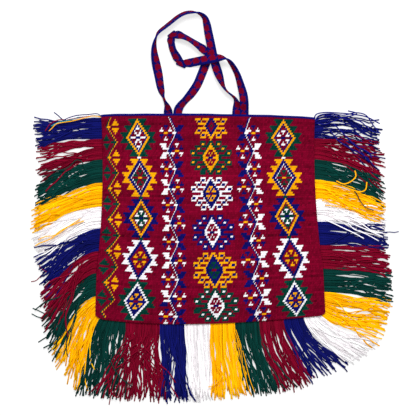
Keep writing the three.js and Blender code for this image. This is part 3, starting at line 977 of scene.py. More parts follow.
    def closing_faces(self, offset: int) -> list[np.ndarray]:
        """The faces that close the panel behind its stitches.

        Args:
            offset: how many numbers the inner lattice comes after the outer one.

        Returns:
            Vertex numbers of the triangles at the selvages, the plain inside and the rims.
        """
        rows, columns = self.chart.cells.shape
        places = 2 * columns + 2
        j = np.arange(rows)
        left = np.stack([j * places, (j + 1) * places, j * places + 1], axis=1)
        last = (j + 1) * places + places - 1
        right = np.stack([j * places + places - 1, last - 1, last], axis=1)
        coarse = np.append(np.arange(0, 2 * columns + 1, 2), places - 1)
        k, c = np.meshgrid(j, np.arange(len(coarse) - 1), indexing="ij")
        a, b = k * places + coarse[c], k * places + coarse[c + 1]
        inside = np.stack([a, b, b + places, a + places], axis=-1).reshape(-1, 4) + offset
        a, b, low = coarse[:-2], coarse[1:-1], rows * places
        hem = np.stack([b, a + 1, a, a + offset, b + offset], axis=1) + low
        mouth = np.stack([a, a + 1, b, b + offset, a + offset], axis=1)
        end, start = places - 1, j * places
        mouth_end = [end - 1, end, end + offset, end - 1 + offset]
        hem_end = [low + end, low + end - 1, low + end - 1 + offset, low + end + offset]
        walls = []
        for up, down in ((start + end, start + end + places), (start + places, start)):
            walls.append(np.stack([up, down, down + offset, up + offset], axis=1))
        return [left, right, inside, hem, mouth, np.array([mouth_end, hem_end]), *walls]

    def build(self) -> bpy.types.Object:
        """Weaves the panel: stitches outside, plain rows inside.

        Returns:
            The panel's piece.
        """
        rng = np.random.default_rng(self.seed)
        outer, inner = self.lattice(rng)
        size = self.chart.cells.shape
        flicker = rng.normal(0, self.tone_spread, size)
        flicker += rng.normal(0, self.row_spread, (size[0], 1)) + self.streaks(rng)
        tone = 1 + flicker * (1 - self.pale_calm * LIGHTNESS[self.chart.cells])
        dyes = np.clip(CHART_COLOURS[self.chart.cells] * tone[..., None], 0, 1)
        sign = 1 if self.front else -1
        height = sign * self.stitch_height * rng.uniform(*STITCH_PLAY, size)
        points, patches = stitch_patches(outer, dyes, height, ring=False)
        for faces in self.closing_faces(len(points)):
            yarn = np.zeros(faces.shape + (2,))
            yarn[..., 1] = faces % PLAIN_PLACES / PLAIN_PLACES
            plain = np.tile(Dye.CRIMSON.linear * self.plain_tone, (len(faces), 1))
            patches.append(Patch(faces, plain, yarn))
        draft = Draft()
        draft.add(np.concatenate([points, inner.reshape(-1, 3)]), patches)
        return finish_piece(draft, self.name, self.finish, self.replaces)


def finish_piece(draft: Draft, name: str, finish: WoolFinish, node: str) -> bpy.types.Object:
    """Makes a piece in its wool, hangs it on the root body, hides the frame's node it stands for, and logs
    it.

    Args:
        draft: its mesh.
        name: its name.
        finish: its wool.
        node: the frame's node it stands for.

    Returns:
        The piece.
    """
    piece = draft.make(name, finish)
    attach(piece, "root")
    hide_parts(node)
    LOG.info("%s: %d faces for %s", piece.name, len(piece.data.polygons), node)
    return piece


def tubes(
    paths: np.ndarray, radii: np.ndarray, squash: float, dyes: np.ndarray, pitch: float
) -> tuple[np.ndarray, list[Patch]]:
    """Round yarns along paths, each closed by a flat cap at both ends.

    A ring's points are the path's point plus the radius times cosine across and sine upward, with
    the upward part multiplied by squash.

    Args:
        paths: yarns by steps by 3.
        radii: yarns by steps by sides.
        squash: height of the section over its width.
        dyes: one linear colour a yarn.
        pitch: length of one turn of the yarn's twist.

    Returns:
        The rings' points and the patches of faces.
    """
    yarns, steps, sides = radii.shape
    way = unit(np.gradient(paths, axis=1))
    across = unit(np.cross(way, UP))
    upward = np.cross(across, way)
    angle = TAU * np.arange(sides) / sides
    ring = np.cos(angle)[:, None] * across[:, :, None]
    ring = ring + squash * np.sin(angle)[:, None] * upward[:, :, None]
    points = paths[:, :, None] + radii[..., None] * ring
    stretches = np.linalg.norm(np.diff(paths, axis=1), axis=-1)
    walked = np.concatenate([np.zeros((yarns, 1)), np.cumsum(stretches, axis=1)], axis=1)
    y, s, k = np.indices((yarns, steps - 1, sides))
    here = (y * steps + s) * sides
    beside = (k + 1) % sides
    faces = np.stack([here + k, here + beside, here + sides + beside, here + sides + k], axis=-1)
    faces = faces.reshape(-1, 4)
    turn = np.stack([k, k + 1, k + 1, k], axis=-1) / sides
    along = np.stack([walked[y, s], walked[y, s], walked[y, s + 1], walked[y, s + 1]], axis=-1) / pitch
    spots = np.stack([turn, along], axis=-1).reshape(-1, 4, 2)
    patches = [Patch(faces, np.repeat(dyes, (steps - 1) * sides, axis=0), spots)]
    first = (np.arange(yarns) * steps)[:, None] * sides + np.arange(sides)[::-1]
    last = (np.arange(yarns) * steps + steps - 1)[:, None] * sides + np.arange(sides)
    for cap in (first, last):
        patches.append(Patch(cap, dyes, np.zeros(cap.shape + (2,))))
    return points.reshape(-1, 3), patches


@dataclass
class WhippedYarn:
    """Navy yarn whipped closely round an edge or along a seam."""

    name: str
    replaces: str  # the frame's node that the piece stands for
    path: np.ndarray  # points along its middle
    width: float  # across, in plan
    height: float  # from its underside to its top
    seed: int
    pitch: float = 2.1  # length of one turn
    rings_per_turn: int = 6
    sides: int = 12
    groove: float = 0.14  # depth between two turns, as a share of the radius
    slant: float = 0.5  # how far a turn lags round the tube, in turns
    unrest: float = 0.15  # how far turns crowd and spread, in turns
    unrest_length: float = 9.0  # length over which they do, over 2 pi
    slack: tuple[float, float] = (0.97, 1.0)  # shares of the radius that single rings have
    proud: float = 0.45  # how much wider than the edge the yarn lies
    wobble: float = 0.15  # how far the line strays to a side
    wobble_lengths: tuple[float, float] = (7.3, 17.9)  # lengths over which it does, over 2 pi
    tone: float = 1.05  # brightness over the navy dye

    def build(self) -> bpy.types.Object:
        """Whips the yarn: a tube whose radius dips where one turn meets the next.

        The radius is the full one less the groove times one minus the root of the sine of the
        place along the turns, which lags behind round the tube, so the turns slant.

        Returns:
            The whipping's piece.
        """
        rng = np.random.default_rng(self.seed)
        steps = np.linalg.norm(np.diff(self.path, axis=0), axis=1)
        walked = np.concatenate([[0], np.cumsum(steps)])
        count = int(walked[-1] / self.pitch * self.rings_per_turn)
        at = np.linspace(0, walked[-1], count)
        path = np.stack([np.interp(at, walked, self.path[:, k]) for k in range(3)], axis=1)
        angle = TAU * np.arange(self.sides) / self.sides
        crowded = self.unrest * np.sin(at / self.unrest_length)
        phase = at[:, None] / self.pitch + self.slant * np.cos(angle) + crowded[:, None]
        bulge = np.sqrt(np.abs(np.sin(math.pi * phase)))
        width = self.width + self.proud
        radii = width / 2 * (1 - self.groove * (1 - bulge)) * rng.uniform(*self.slack, (count, 1))
        quick, slow = self.wobble_lengths
        path[:, 1] += self.wobble * (np.sin(at / quick + self.seed) + np.sin(at / slow))
        dye = (Dye.NAVY.linear * self.tone)[None]
        draft = Draft()
        draft.add(*tubes(path[None], radii[None], self.height / width, dye, self.pitch))
        return finish_piece(draft, self.name, EDGING_WOOL, self.replaces)


def body_line(u: np.ndarray, v: np.ndarray, height: np.ndarray, lower: float = 0.0) -> np.ndarray:
    """A line over the body.

    Args:
        u: places across.
        v: places down.
        height: heights above the floor.
        lower: how far the line is moved toward the hem.

    Returns:
        Its points.
    """
    line = BODY.point(u, v)
    line[..., 1] -= lower
    line[..., 2] = height
    return line


def whipped_edges() -> list[WhippedYarn]:
    """The whipped mouth edges and the three seams between the panels.

    Returns:
        The front's and the back's edge, and the left, right and hem seams.
    """
    count, seam_pitch = 60, 4.0
    u = np.linspace(-1, 1, count)
    top = np.zeros(count)
    lower, thick = BODY.edging_width / 2, BODY.thickness
    front = body_line(u, top, BODY.front_underside(u, top) + thick / 2, lower)
    back = body_line(u, top, np.full(count, thick / 2), lower)
    line = BODY.knot_depth + BODY.clearance + BODY.seam_width / 2
    level = np.full(count, thick + BODY.edge_gap / 2)
    inner_edge = line + BODY.seam_width / 2
    down = np.linspace(2 * BODY.panel_start, BODY.from_hem(inner_edge + BODY.clearance), count)
    side = np.full(count, BODY.from_side(line))
    along_hem = BODY.from_side(BODY.knot_depth + BODY.seam_width / 2) * u
    hem_v = np.full(count, BODY.from_hem(inner_edge) + BODY.seam_width / 2 / BODY.height)
    made = [
        WhippedYarn("front_mouth_whipping", "front_mouth_edging", front, BODY.edging_width, thick, 11),
        WhippedYarn("back_mouth_whipping", "back_mouth_edging", back, BODY.edging_width, thick, 12),
    ]
    seams = (
        ("left", "left_side_seam", body_line(-side, down, level), 13),
        ("right", "right_side_seam", body_line(side, down, level), 14),
        ("hem", "hem_seam", body_line(along_hem, hem_v, level), 15),
    )
    for name, node, path, seed in seams:
        size = BODY.seam_width, BODY.knot_thickness
        made.append(WhippedYarn(f"{name}_seam_stitches", node, path, *size, seed, seam_pitch))
    return made


@dataclass(frozen=True)
class Boundary:
    """One side of a fringe bundle: where it leaves the body, its lay in degrees and its length."""

    u: float
    v: float
    lay: float
    length: float


@dataclass(frozen=True)
class Lay:
    """How the yarns of a bundle lie."""

    density: float = 1.9  # yarns for each millimetre of the edge
    wave: float = 2.6  # sideways sway toward the tips, in millimetres
    clump: float = 0.38  # how far yarns are drawn to their lock, from 0 to 1
    locks: int = 7  # yarns in a lock, about
    fly: float = 4.0  # bend of the last part to one side, in millimetres
    strays: float = 0.1  # share of the yarns that cross the others
    across: tuple[float, float] = (0.25, 0.25)  # how far strays end beyond its two sides, in widths
    rise: float = 0.0  # how far the far side bulges beyond its boundary near the root, in millimetres
    pile: float = 2.0  # how far the yarns spread in height, in millimetres


@dataclass(frozen=True)
class StrayYarn:
    """A single yarn that lies by itself."""

    radius: float  # in millimetres
    height: float  # of its middle above the floor, in millimetres
    route: tuple[float, ...]  # places on the photo's plan, each from its left and its top
    dye: Dye | None = None  # its colour, where it isn't the bundle's

    def path(self, steps: int) -> np.ndarray:
        """A smooth line through the route.

        Args:
            steps: how many points.

        Returns:
            Points evenly along it, measured from the body's middle.
        """
        across, down = np.array(self.route).reshape(-1, 2).T
        middle_x, middle_y = PHOTO_MIDDLE
        x = (across - middle_x) * PHOTO_STEP
        y = (middle_y - down) * PHOTO_STEP + PHOTO_LIFT
        stops = np.stack([x, y, np.zeros_like(x), np.zeros_like(x)], axis=1)
        points = Stretch(stops).plan(np.linspace(0, 1, steps))
        points[:, 2] = self.height
        return points


@dataclass
class Spread:
    """How a bundle's yarns spread, as columns with one row a yarn."""

    place: np.ndarray  # where it leaves the edge, as a share of the root
    lock: np.ndarray  # place of the lock that it is drawn to
    end: np.ndarray  # where its tip lies, as a share of the way from one boundary to the other
    stray: np.ndarray  # whether it crosses the others
    reach: np.ndarray  # its length, as a share of the boundaries'
    turns: np.ndarray  # how many times it sways
    start: np.ndarray  # the part of a sway with which it starts


@dataclass
class FringeBundle:
    """One block of the fringe: yarns of one dye, knotted between the panels."""

    side: str  # left, hem or right
    number: int  # its place in the side, from 1
    wool: FringeWool
    root: float  # its width along the edge
    before: Boundary
    after: Boundary
    outward: tuple[np.ndarray, np.ndarray]  # directions in which the boundaries leave the edge
    seed: int
    yarn_radius: float = 0.95
    lump: float = 0.08  # how much thicker a yarn gets in places, as a share of its radius
    fluff: float = 1.15  # thickness of a tip, as a share of the yarn's
    fluffy_from: float = 0.55  # share of the length at which it begins to swell
    tones: tuple[float, float] = (0.7, 1.28)  # brightness of single yarns
    steps: int = 14
    sides: int = 5
    twist_pitch: float = 3.2
    splay: float = 0.38  # share of the length by which a yarn leads outward before it bends
    no_splay_turn: float = 1.9  # turn of the lay from outward, in radians, at which none does
    start_play: tuple[float, float] = (0.1, 0.9)  # where a yarn starts in its part of the root
    least_locks: int = 3
    lock_from: float = 0.12  # share of the length at which a yarn turns to its lock
    tip_scatter: float = 0.05  # spread of the tips, in widths
    overlap: float = 0.03  # how far tips that don't stray may pass the boundaries, in widths
    reaches: tuple[float, float] = (0.9, 1.02)  # lengths of the yarns, as shares of the boundaries'
    short_yarns: tuple[float, float] = (0.12, 0.88)  # share of yarns that are short, and how short
    sways: tuple[float, float] = (0.9, 2.2)  # along a yarn
    curls: tuple[float, float] = (3.0, 5.0)  # along a yarn
    waves: tuple[float, float] = (0.3, 1.2)  # shares of the lay's wave that single yarns take
    wave_mix: tuple[float, float, float] = (0.35, 0.39, 1.1)  # own sway, own curl, the lock's sway
    lock_wave: tuple[float, float, float] = (1.1, 0.3, 40.0)  # turns, phase and how it varies
    level_until: float = 7.0  # distance from the edge in which the bundle stays level
    ground_from: float = 30.0  # distance at which it lies on the floor
    tip_thickness: float = 2.2  # of the bundle, where it ends
    least_stack: float = 0.2
    ripple: float = 0.3  # how far yarns rise and fall
    stray_lift: float = 2.2  # how much higher strays lie

    @property
    def key(self) -> str:
        """Its side, number and wool, as in LAYS and STRAYS."""
        return f"{self.side}_{self.number}_{self.wool.name.lower()}"

    @property
    def lay(self) -> Lay:
        """How its yarns lie."""
        return LAYS.get(self.key, Lay())

    @property
    def share(self) -> np.ndarray:
        """The places along a yarn, as shares of its length."""
        return np.linspace(0, 1, self.steps)

    def _boundary(self, edge: Boundary, outward: np.ndarray) -> np.ndarray:
        """The plan of a boundary's yarn.

        The bend lies outward from the edge by the splay share of the length, less where the lay
        turns far from outward, and the tip along the lay by the whole length.

        Args:
            edge: the boundary.
            outward: the direction in which it leaves the edge.

        Returns:
            Its knot, its place on the edge, its bend and its tip.
        """
        held = BODY.from_side(BODY.knot_depth)
        knot = BODY.point(np.clip(edge.u, -held, held), min(edge.v, BODY.from_hem(BODY.knot_depth)))
        place = BODY.point(np.array(edge.u), np.array(edge.v))
        angle = math.radians(edge.lay)
        way = np.array([math.cos(angle), math.sin(angle), 0])
        splay = self.splay * (1 - math.acos(min(outward @ way, 1.0)) / self.no_splay_turn)
        return np.stack([knot, place, place + outward * splay * edge.length, place + way * edge.length])

    def _spread(self, rng: np.random.Generator) -> Spread:
        """Draws how the yarns spread: to their locks, and some of them across the others.

        Args:
            rng: the bundle's random draws.

        Returns:
            One value a yarn of each kind.
        """
        count = round(self.root * self.lay.density)
        column = (count, 1)
        place = (np.arange(count)[:, None] + rng.uniform(*self.start_play, column)) / count
        locks = np.sort(rng.uniform(0, 1, max(self.least_locks, count // self.lay.locks)))
        lock = locks[np.abs(place - locks).argmin(axis=1)][:, None]
        end = mix(place, lock, self.lay.clump) + rng.normal(0, self.tip_scatter, column)
        stray = rng.random(column) < self.lay.strays
        before, after = self.lay.across
        crossing = rng.uniform(-before, 1 + after, column)
        end = np.where(stray, crossing, np.clip(end, -self.overlap, 1 + self.overlap))
        few, short = self.short_yarns
        reach = rng.uniform(*self.reaches, column) * np.where(rng.random(column) < few, short, 1)
        turns, start = rng.uniform(*self.sways, column), rng.uniform(0, 1, column)
        return Spread(place, lock, end, stray, reach, turns, start)

    def _course(self, yarns: Spread) -> tuple[np.ndarray, np.ndarray]:
        """The yarns' courses in plan: quadratic curves between those of the two boundaries.

        Args:
            yarns: how they spread.

        Returns:
            The knots, yarns by 1 by 3, and the courses, yarns by steps by 3.
        """
        near = self._boundary(self.before, self.outward[0])
        far = self._boundary(self.after, self.outward[1])
        s = mix(yarns.place, yarns.end, smooth_step(self.share, self.lock_from, 1.0))[..., None]
        knot, edge, bend, tip = (near[k] * (1 - s) + far[k] * s for k in range(4))
        t = (self.share * yarns.reach)[..., None]
        return knot[:, :1].copy(), (1 - t) ** 2 * edge + 2 * t * (1 - t) * bend + t**2 * tip

    def _aside(self, yarns: Spread, rng: np.random.Generator) -> np.ndarray:
        """How far the yarns lie to a side of their courses.

        Each sways and curls by itself, sways with its lock, bends away over its last part, and
        bulges toward the far side near its root where the lay rises.

        Args:
            yarns: how they spread.
            rng: the bundle's random draws.

        Returns:
            Distances, yarns by steps.
        """
        share, lay = self.share, self.lay
        turns, phase, variety = self.lock_wave
        lead = phase * np.sin(variety * yarns.lock)
        sway = np.sin(TAU * (yarns.turns * share + yarns.start)) - np.sin(TAU * yarns.start)
        together = np.sin(TAU * (turns * share + lead)) - np.sin(TAU * lead)
        curl = np.sin(TAU * (rng.uniform(*self.curls, yarns.start.shape) * share + yarns.start))
        size = lay.wave * rng.uniform(*self.waves, yarns.start.shape) * share**0.9
        bent = rng.normal(0, 1, yarns.start.shape) * lay.fly * share**4
        bulge = lay.rise * yarns.place**2 * np.sin(math.pi * share**0.6)
        own_sway, own_curl, lock_sway = self.wave_mix
        own = size * (sway * own_sway + curl * own_curl)
        return own + lay.wave * lock_sway * together * share**1.4 + bent - bulge

    def _heights(self, yarns: Spread, rng: np.random.Generator) -> np.ndarray:
        """Heights of the yarns' middles.

        The bundle sinks from between the panels to the floor along an S, as the frame's does, and
        gets thinner toward its tips. Its yarns lie in it at random levels, with the strays on top.

        Args:
            yarns: how they spread.
            rng: the bundle's random draws.

        Returns:
            Heights, yarns by steps.
        """
        share = self.share
        walked = share * (self.before.length + self.after.length) / 2
        sunk = 1 - smooth_step(walked, self.level_until, self.ground_from)
        low = (BODY.thickness + BODY.clearance) * sunk
        thick = mix(BODY.knot_thickness, self.tip_thickness, share**0.7)
        level = rng.uniform(0, 1, yarns.start.shape)
        stack = np.maximum(thick - 2 * self.yarn_radius, self.least_stack)
        stack = stack + self.lay.pile * smooth_step(walked, 4, self.ground_from)
        ripple = self.ripple * np.sin(TAU * (yarns.turns * 1.3 * share + yarns.start))
        ripple = ripple * smooth_step(walked, 10, self.ground_from)
        over = yarns.stray * self.stray_lift * smooth_step(share, 0.1, 0.5)
        return low + self.yarn_radius + level * stack + np.abs(ripple) + over

    def _paths(self, rng: np.random.Generator) -> np.ndarray:
        """Every yarn's path.

        Args:
            rng: the bundle's random draws.

        Returns:
            Points, yarns by steps and one more for the knot, by 3.
        """
        yarns = self._spread(rng)
        knots, free = self._course(yarns)
        across = np.cross(unit(np.gradient(free, axis=1)), UP)
        free += across * self._aside(yarns, rng)[..., None]
        free[..., 2] = self._heights(yarns, rng)
        knots[..., 2] = free[:, :1, 2]
        return np.concatenate([knots, free], axis=1)

    def build(self) -> bpy.types.Object:
        """Makes the bundle and the single yarns that lie by themselves.

        Returns:
            All of it as one piece.
        """
        rng = np.random.default_rng(self.seed)
        dye, finish = self.wool.value
        paths = self._paths(rng)
        count, steps = paths.shape[:2]
        share = np.linspace(0, 1, steps)
        lumps = np.sin(TAU * (rng.uniform(3, 6, (count, 1)) * share + rng.random((count, 1))))
        fluffy = mix(1, self.fluff, smooth_step(share, self.fluffy_from, 1.0))
        radii = self.yarn_radius * (1 + self.lump * lumps) * fluffy
        radii = np.repeat(radii[..., None], self.sides, axis=2)
        dyes = dye.linear * rng.uniform(*self.tones, (count, 1))
        draft = Draft()
        draft.add(*tubes(paths, radii, 1.0, np.clip(dyes, 0, 1), self.twist_pitch))
        for yarn in (StrayYarn(*row) for row in STRAYS.get(self.key, ())):
            path = yarn.path(2 * len(yarn.route))[None]
            thickness = np.full((*path.shape[:2], self.sides), yarn.radius)
            own_dye = (yarn.dye or dye).linear[None]
            draft.add(*tubes(path, thickness, 1.0, own_dye, self.twist_pitch))
        name = f"{self.side}_fringe_{self.number}_{self.wool.name.lower()}_yarns"
        return finish_piece(draft, name, finish, f"fringe_{self.key}")


LAYS = {
    "left_1_blue": Lay(across=(-0.25, 0.1)),
    "left_2_red": Lay(wave=3.6, clump=0.4, fly=5.0, across=(0.05, 0.35)),
    "left_3_green": Lay(wave=3.2, clump=0.3, fly=5.0),
    "left_5_white": Lay(pile=1.2),
    "left_6_blue": Lay(wave=3.6, clump=0.5, fly=6.0, strays=0.15, across=(0.3, 0.3)),
    "left_7_red": Lay(wave=3.0, clump=0.4, fly=6.0, strays=0.15, across=(0.3, 0.2), pile=4.0),
    "left_8_green": Lay(wave=4.0, clump=0.5, fly=8.0, strays=0.3, across=(0.6, 0.5)),
    "left_9_yellow": Lay(wave=3.6, clump=0.5, fly=8.0, strays=0.15, across=(0.3, 0.1), pile=3.4),
    "hem_1_green": Lay(wave=4.0, clump=0.4, fly=6.0, strays=0.12),
    "hem_2_red": Lay(wave=4.5, clump=0.45, fly=7.0, strays=0.25, across=(0.6, 0.35)),
    "hem_3_blue": Lay(wave=3.4, clump=0.85, locks=22, fly=5.0, strays=0.12, across=(0.3, 0.05)),
    "hem_4_white": Lay(wave=2.2, clump=0.2, strays=0.03, across=(0, 0), pile=1.2),
    "hem_5_yellow": Lay(wave=2.4, clump=0.4, fly=3.0, strays=0.03, across=(-0.1, -0.1)),
    "hem_6_green": Lay(wave=3.4, clump=0.45, across=(0.1, 0.5)),
    "hem_7_red": Lay(wave=3.2, clump=0.45, fly=6.0, across=(0.3, 0.2)),
    "hem_8_blue": Lay(wave=2.2, clump=0.25, strays=0.05),
    "hem_9_white": Lay(pile=1.2),
    "right_1_yellow": Lay(wave=3.2, clump=0.75, locks=14, fly=6.0, strays=0.12),
    "right_5_white": Lay(wave=3.0, strays=0.15, across=(0.4, 0.3), pile=1.6, rise=5.0),
    "right_6_yellow": Lay(wave=3.0, strays=0.25, across=(0.8, 0.1)),
    "right_7_green": Lay(wave=3.2, fly=6.0, strays=0.15, across=(0.2, 0.35)),
    "right_8_red": Lay(wave=4.5, clump=0.5, fly=7.0, strays=0.3, across=(0.4, 0.3)),
    "right_9_blue": Lay(
        density=1.15, wave=5.5, clump=0.75, locks=6, fly=8.0, strays=0.35, across=(1.3, 0.3), rise=9.0
    ),
}
STRAYS = {  # each yarn as its radius, height and route, and its dye where it isn't the bundle's
    "left_1_blue": (
        (0.8, 9.0, (101, 116.5, 90, 116, 80, 117.5, 68, 119.5, 58, 120, 50, 124, 45, 131), Dye.FRINGE_RED),
        (0.65, 9.6, (101, 117, 93, 116, 84, 118, 72, 121, 62, 122.5, 56, 124, 52, 128,
            49, 131), Dye.FRINGE_YELLOW),
        (0.8, 9.3, (101, 115, 94, 114.6, 86, 115.8, 76, 116.6, 66, 119.4), Dye.WHITE),
        (0.7, 9.0, (101, 115.5, 95, 115, 80, 116.6, 70, 120, 58, 122.5, 51, 126), Dye.TEAL),
        (0.8, 9.4, (101, 115.6, 97, 113.8, 88, 114.5, 76, 115.5, 68, 118, 63, 120.5)),
        (0.9, 8.6, (53.8, 112.2, 57.5, 115, 61, 118.3, 65, 122)),
        (0.8, 9.0, (46, 125.5, 50, 128.5, 54, 131, 58, 132), Dye.NAVY),
        (0.8, 9.4, (55, 124, 60, 127.5, 68, 129, 76, 126.5, 84, 124, 92, 123.5), Dye.NAVY),
    ),
    "left_3_green": (
        (0.8, 9.5, (86, 170, 83.7, 165.5, 80.9, 161, 76.4, 160, 73, 162.7, 68.7, 167, 58.7, 170.4,
            42, 170)),
    ),
    "left_4_yellow": (
        (0.9, 7.5, (60, 214, 52, 214, 46, 219, 38, 222, 31, 225)),
        (0.9, 7.5, (84, 221, 72, 225, 60, 231, 52, 238, 38, 244, 35, 246)),
        (0.8, 7.8, (80, 219, 66, 228, 56, 235, 44, 237, 38, 240)),
    ),
    "left_6_blue": (
        (0.8, 9.0, (86, 234, 80, 235, 67, 241.5, 57, 253, 43.7, 257, 34.5, 262.5)),
    ),
    "left_7_red": (
        (0.8, 2.5, (38.7, 261.7, 39.2, 266.7, 42.8, 270, 48, 273.3)),
        (0.8, 2.0, (30.5, 281.8, 35.3, 280.8, 40.3, 276)),
        (0.9, 9.8, (80, 262, 73, 285, 70.3, 303, 65.3, 318.3, 68, 337)),
        (0.9, 10.0, (82, 262, 76, 280, 72, 300, 66, 312, 66.5, 330)),
    ),
    "left_8_green": (
        (0.9, 2.0, (32, 308.5, 38, 311, 45, 314.5, 50, 317)),
        (0.9, 2.6, (31, 314, 38, 317.5, 46, 318)),
        (0.7, 4.5, (62, 334, 64, 346, 68, 357.5)),
        (0.7, 4.5, (48, 345, 56, 352, 62, 352.5)),
    ),
    "hem_1_green": (
        (0.9, 10.0, (110, 360, 113, 367, 118.6, 376, 127, 383, 132, 386.5)),
    ),
    "hem_2_red": (
        (0.9, 9.0, (133, 338, 123, 345, 115.7, 355, 110, 364)),
        (0.9, 9.4, (139, 350, 127, 359, 118.6, 372, 112.9, 386, 109, 405)),
        (0.9, 9.2, (136, 344, 124, 353, 116, 366, 112, 378, 104, 385)),
        (0.9, 9.6, (118, 355, 112, 366, 108, 380, 112, 394, 118, 398)),
    ),
    "hem_5_yellow": (
        (0.8, 8.0, (217, 357, 216.4, 365, 222.5, 373.4, 220, 381, 215.7, 395.5)),
        (0.8, 8.4, (208.4, 387.3, 214.3, 385, 221.2, 376.3, 217, 367.7, 217.5, 360)),
        (0.6, 6.4, (236, 330, 243, 352, 247, 368, 250, 380, 255, 393)),
        (0.6, 6.6, (234, 330, 241, 350, 243, 368, 247, 383, 249, 390)),
    ),
    "right_4_blue": (
        (0.8, 2.0, (384, 232.5, 390, 232, 395, 232.4, 399.4, 231.6)),
    ),
    "right_5_white": (
        (0.9, 9.0, (326, 220, 333, 223, 345.5, 229, 356, 234, 364, 238.5), Dye.WHITE),
        (0.7, 9.2, (348, 223, 354, 229, 366, 234, 379, 241), Dye.WHITE),
        (0.9, 9.0, (345, 220, 358, 226, 370, 231, 383, 237), Dye.WHITE),
        (0.9, 9.1, (350, 218, 362, 224, 374, 232, 383, 233), Dye.WHITE),
    ),
    "right_6_yellow": (
        (1.0, 9.6, (355, 170.6, 356, 176, 351.8, 181, 344, 184, 336.5, 181)),
        (1.0, 9.8, (367, 182, 365.5, 189.8, 360.5, 191.8, 349, 188.5, 342, 186)),
        (0.9, 9.0, (325, 205, 340, 207, 356, 210, 370, 214, 385, 212)),
        (0.9, 9.0, (322, 200, 336, 204, 352, 208, 368, 216, 383, 219)),
    ),
    "right_7_green": (
        (0.8, 9.5, (350, 188, 355.5, 192, 360.5, 201, 365.5, 207, 374, 210.5)),
        (0.8, 9.0, (362, 170, 367, 176, 369, 183, 376, 188, 383, 200)),
    ),
    "right_9_blue": (
        (1.0, 8.0, (314, 120, 316, 114.5, 324, 112.4, 338, 112.8, 352, 114, 366, 116.5,
            380, 123.5), Dye.STRAY_BLUE),
        (1.0, 8.6, (315, 121, 319, 115.6, 330, 113.6, 344, 115, 356, 112.6, 366, 115, 374, 126,
            380, 133), Dye.STRAY_BLUE),
        (1.0, 8.2, (315, 122, 322, 117, 334, 115.6, 346, 119, 360, 121, 372, 131,
            381, 133), Dye.STRAY_BLUE),
        (1.0, 9.0, (316, 123, 326, 124, 338, 119, 350, 116, 357, 113.4, 348, 110.8), Dye.STRAY_BLUE),
        (1.0, 8.8, (330, 130, 338, 140, 350, 148, 362, 154, 370, 162), Dye.STRAY_BLUE),
        (1.0, 9.2, (334, 124, 344, 134, 356, 146, 368, 152, 372, 158), Dye.STRAY_BLUE),
    ),
}


BLUE, RED, GREEN, YELLOW, WHITE = FringeWool
FringeRows = tuple[tuple[FringeWool, float, float, float], ...]


@dataclass
class Fringe:
    """The whole fringe: nine bundles down the left, along the hem and up the right.

    Each row is a bundle's wool and root width, and the lay and length of its far boundary.
    """

    start: float = 4.5  # from the mouth to the first knot
    first: tuple[float, float] = (184.5, 102)  # lay and length of the first boundary
    left: FringeRows = (
        (BLUE, 31.5, 188, 100), (RED, 31.5, 201, 104), (GREEN, 34.5, 201, 108),
        (YELLOW, 35, 200.5, 111), (WHITE, 33, 208, 107), (BLUE, 34, 220, 109),
        (RED, 32.5, 228, 117), (GREEN, 34.5, 234, 109), (YELLOW, 33, 257, 119),
    )
    hem: FringeRows = (
        (GREEN, 45.5, 264, 117), (RED, 50.5, 272.5, 118), (BLUE, 38, 273.5, 117),
        (WHITE, 38.5, 272, 115), (YELLOW, 36, 282, 112), (GREEN, 37, 287.5, 111),
        (RED, 36, 294, 106), (BLUE, 30, 316, 101), (WHITE, 33, 336.5, 98),
    )
    right: FringeRows = (
        (YELLOW, 34.5, 352, 103), (GREEN, 35.5, 355.5, 104), (RED, 34.5, 356.5, 103),
        (BLUE, 34.5, 354, 103), (WHITE, 33.2, 348, 105), (YELLOW, 29.3, 341.5, 110),
        (GREEN, 30, 342, 109), (RED, 31, 354, 103), (BLUE, 27, 357, 99),
    )

    def bundles(self) -> list[FringeBundle]:
        """Shares out each side's edge.

        Returns:
            All bundles in order, each starting where the one before it ends.
        """
        start = self.start / BODY.height
        left, down, right = np.array([-1.0, 0, 0]), np.array([0, -1.0, 0]), np.array([1.0, 0, 0])
        corners = unit(left + down), unit(right + down)
        sides = (
            ("left", self.left, start, lambda t: (-1.0, t), (left, left, corners[0])),
            ("hem", self.hem, 0.0, lambda t: (2 * t - 1, 1.0), (corners[0], down, corners[1])),
            ("right", self.right, 0.0, lambda t: (1.0, 1 - t * (1 - start)), (corners[1], right, right)),
        )
        made: list[FringeBundle] = []
        lay, length = self.first
        for side, rows, begin, place, (at_start, between, at_end) in sides:
            total = sum(row[1] for row in rows)
            walked = 0.0
            before = Boundary(*place(begin), lay, length)
            for number, (wool, root, lay, length) in enumerate(rows, 1):
                walked += root
                after = Boundary(*place(begin + (1 - begin) * walked / total), lay, length)
                ways = (at_start if number == 1 else between, at_end if number == len(rows) else between)
                seed = FIRST_FRINGE_SEED + len(made)
                made.append(FringeBundle(side, number, wool, root, before, after, ways, seed))
                before = after
        return made


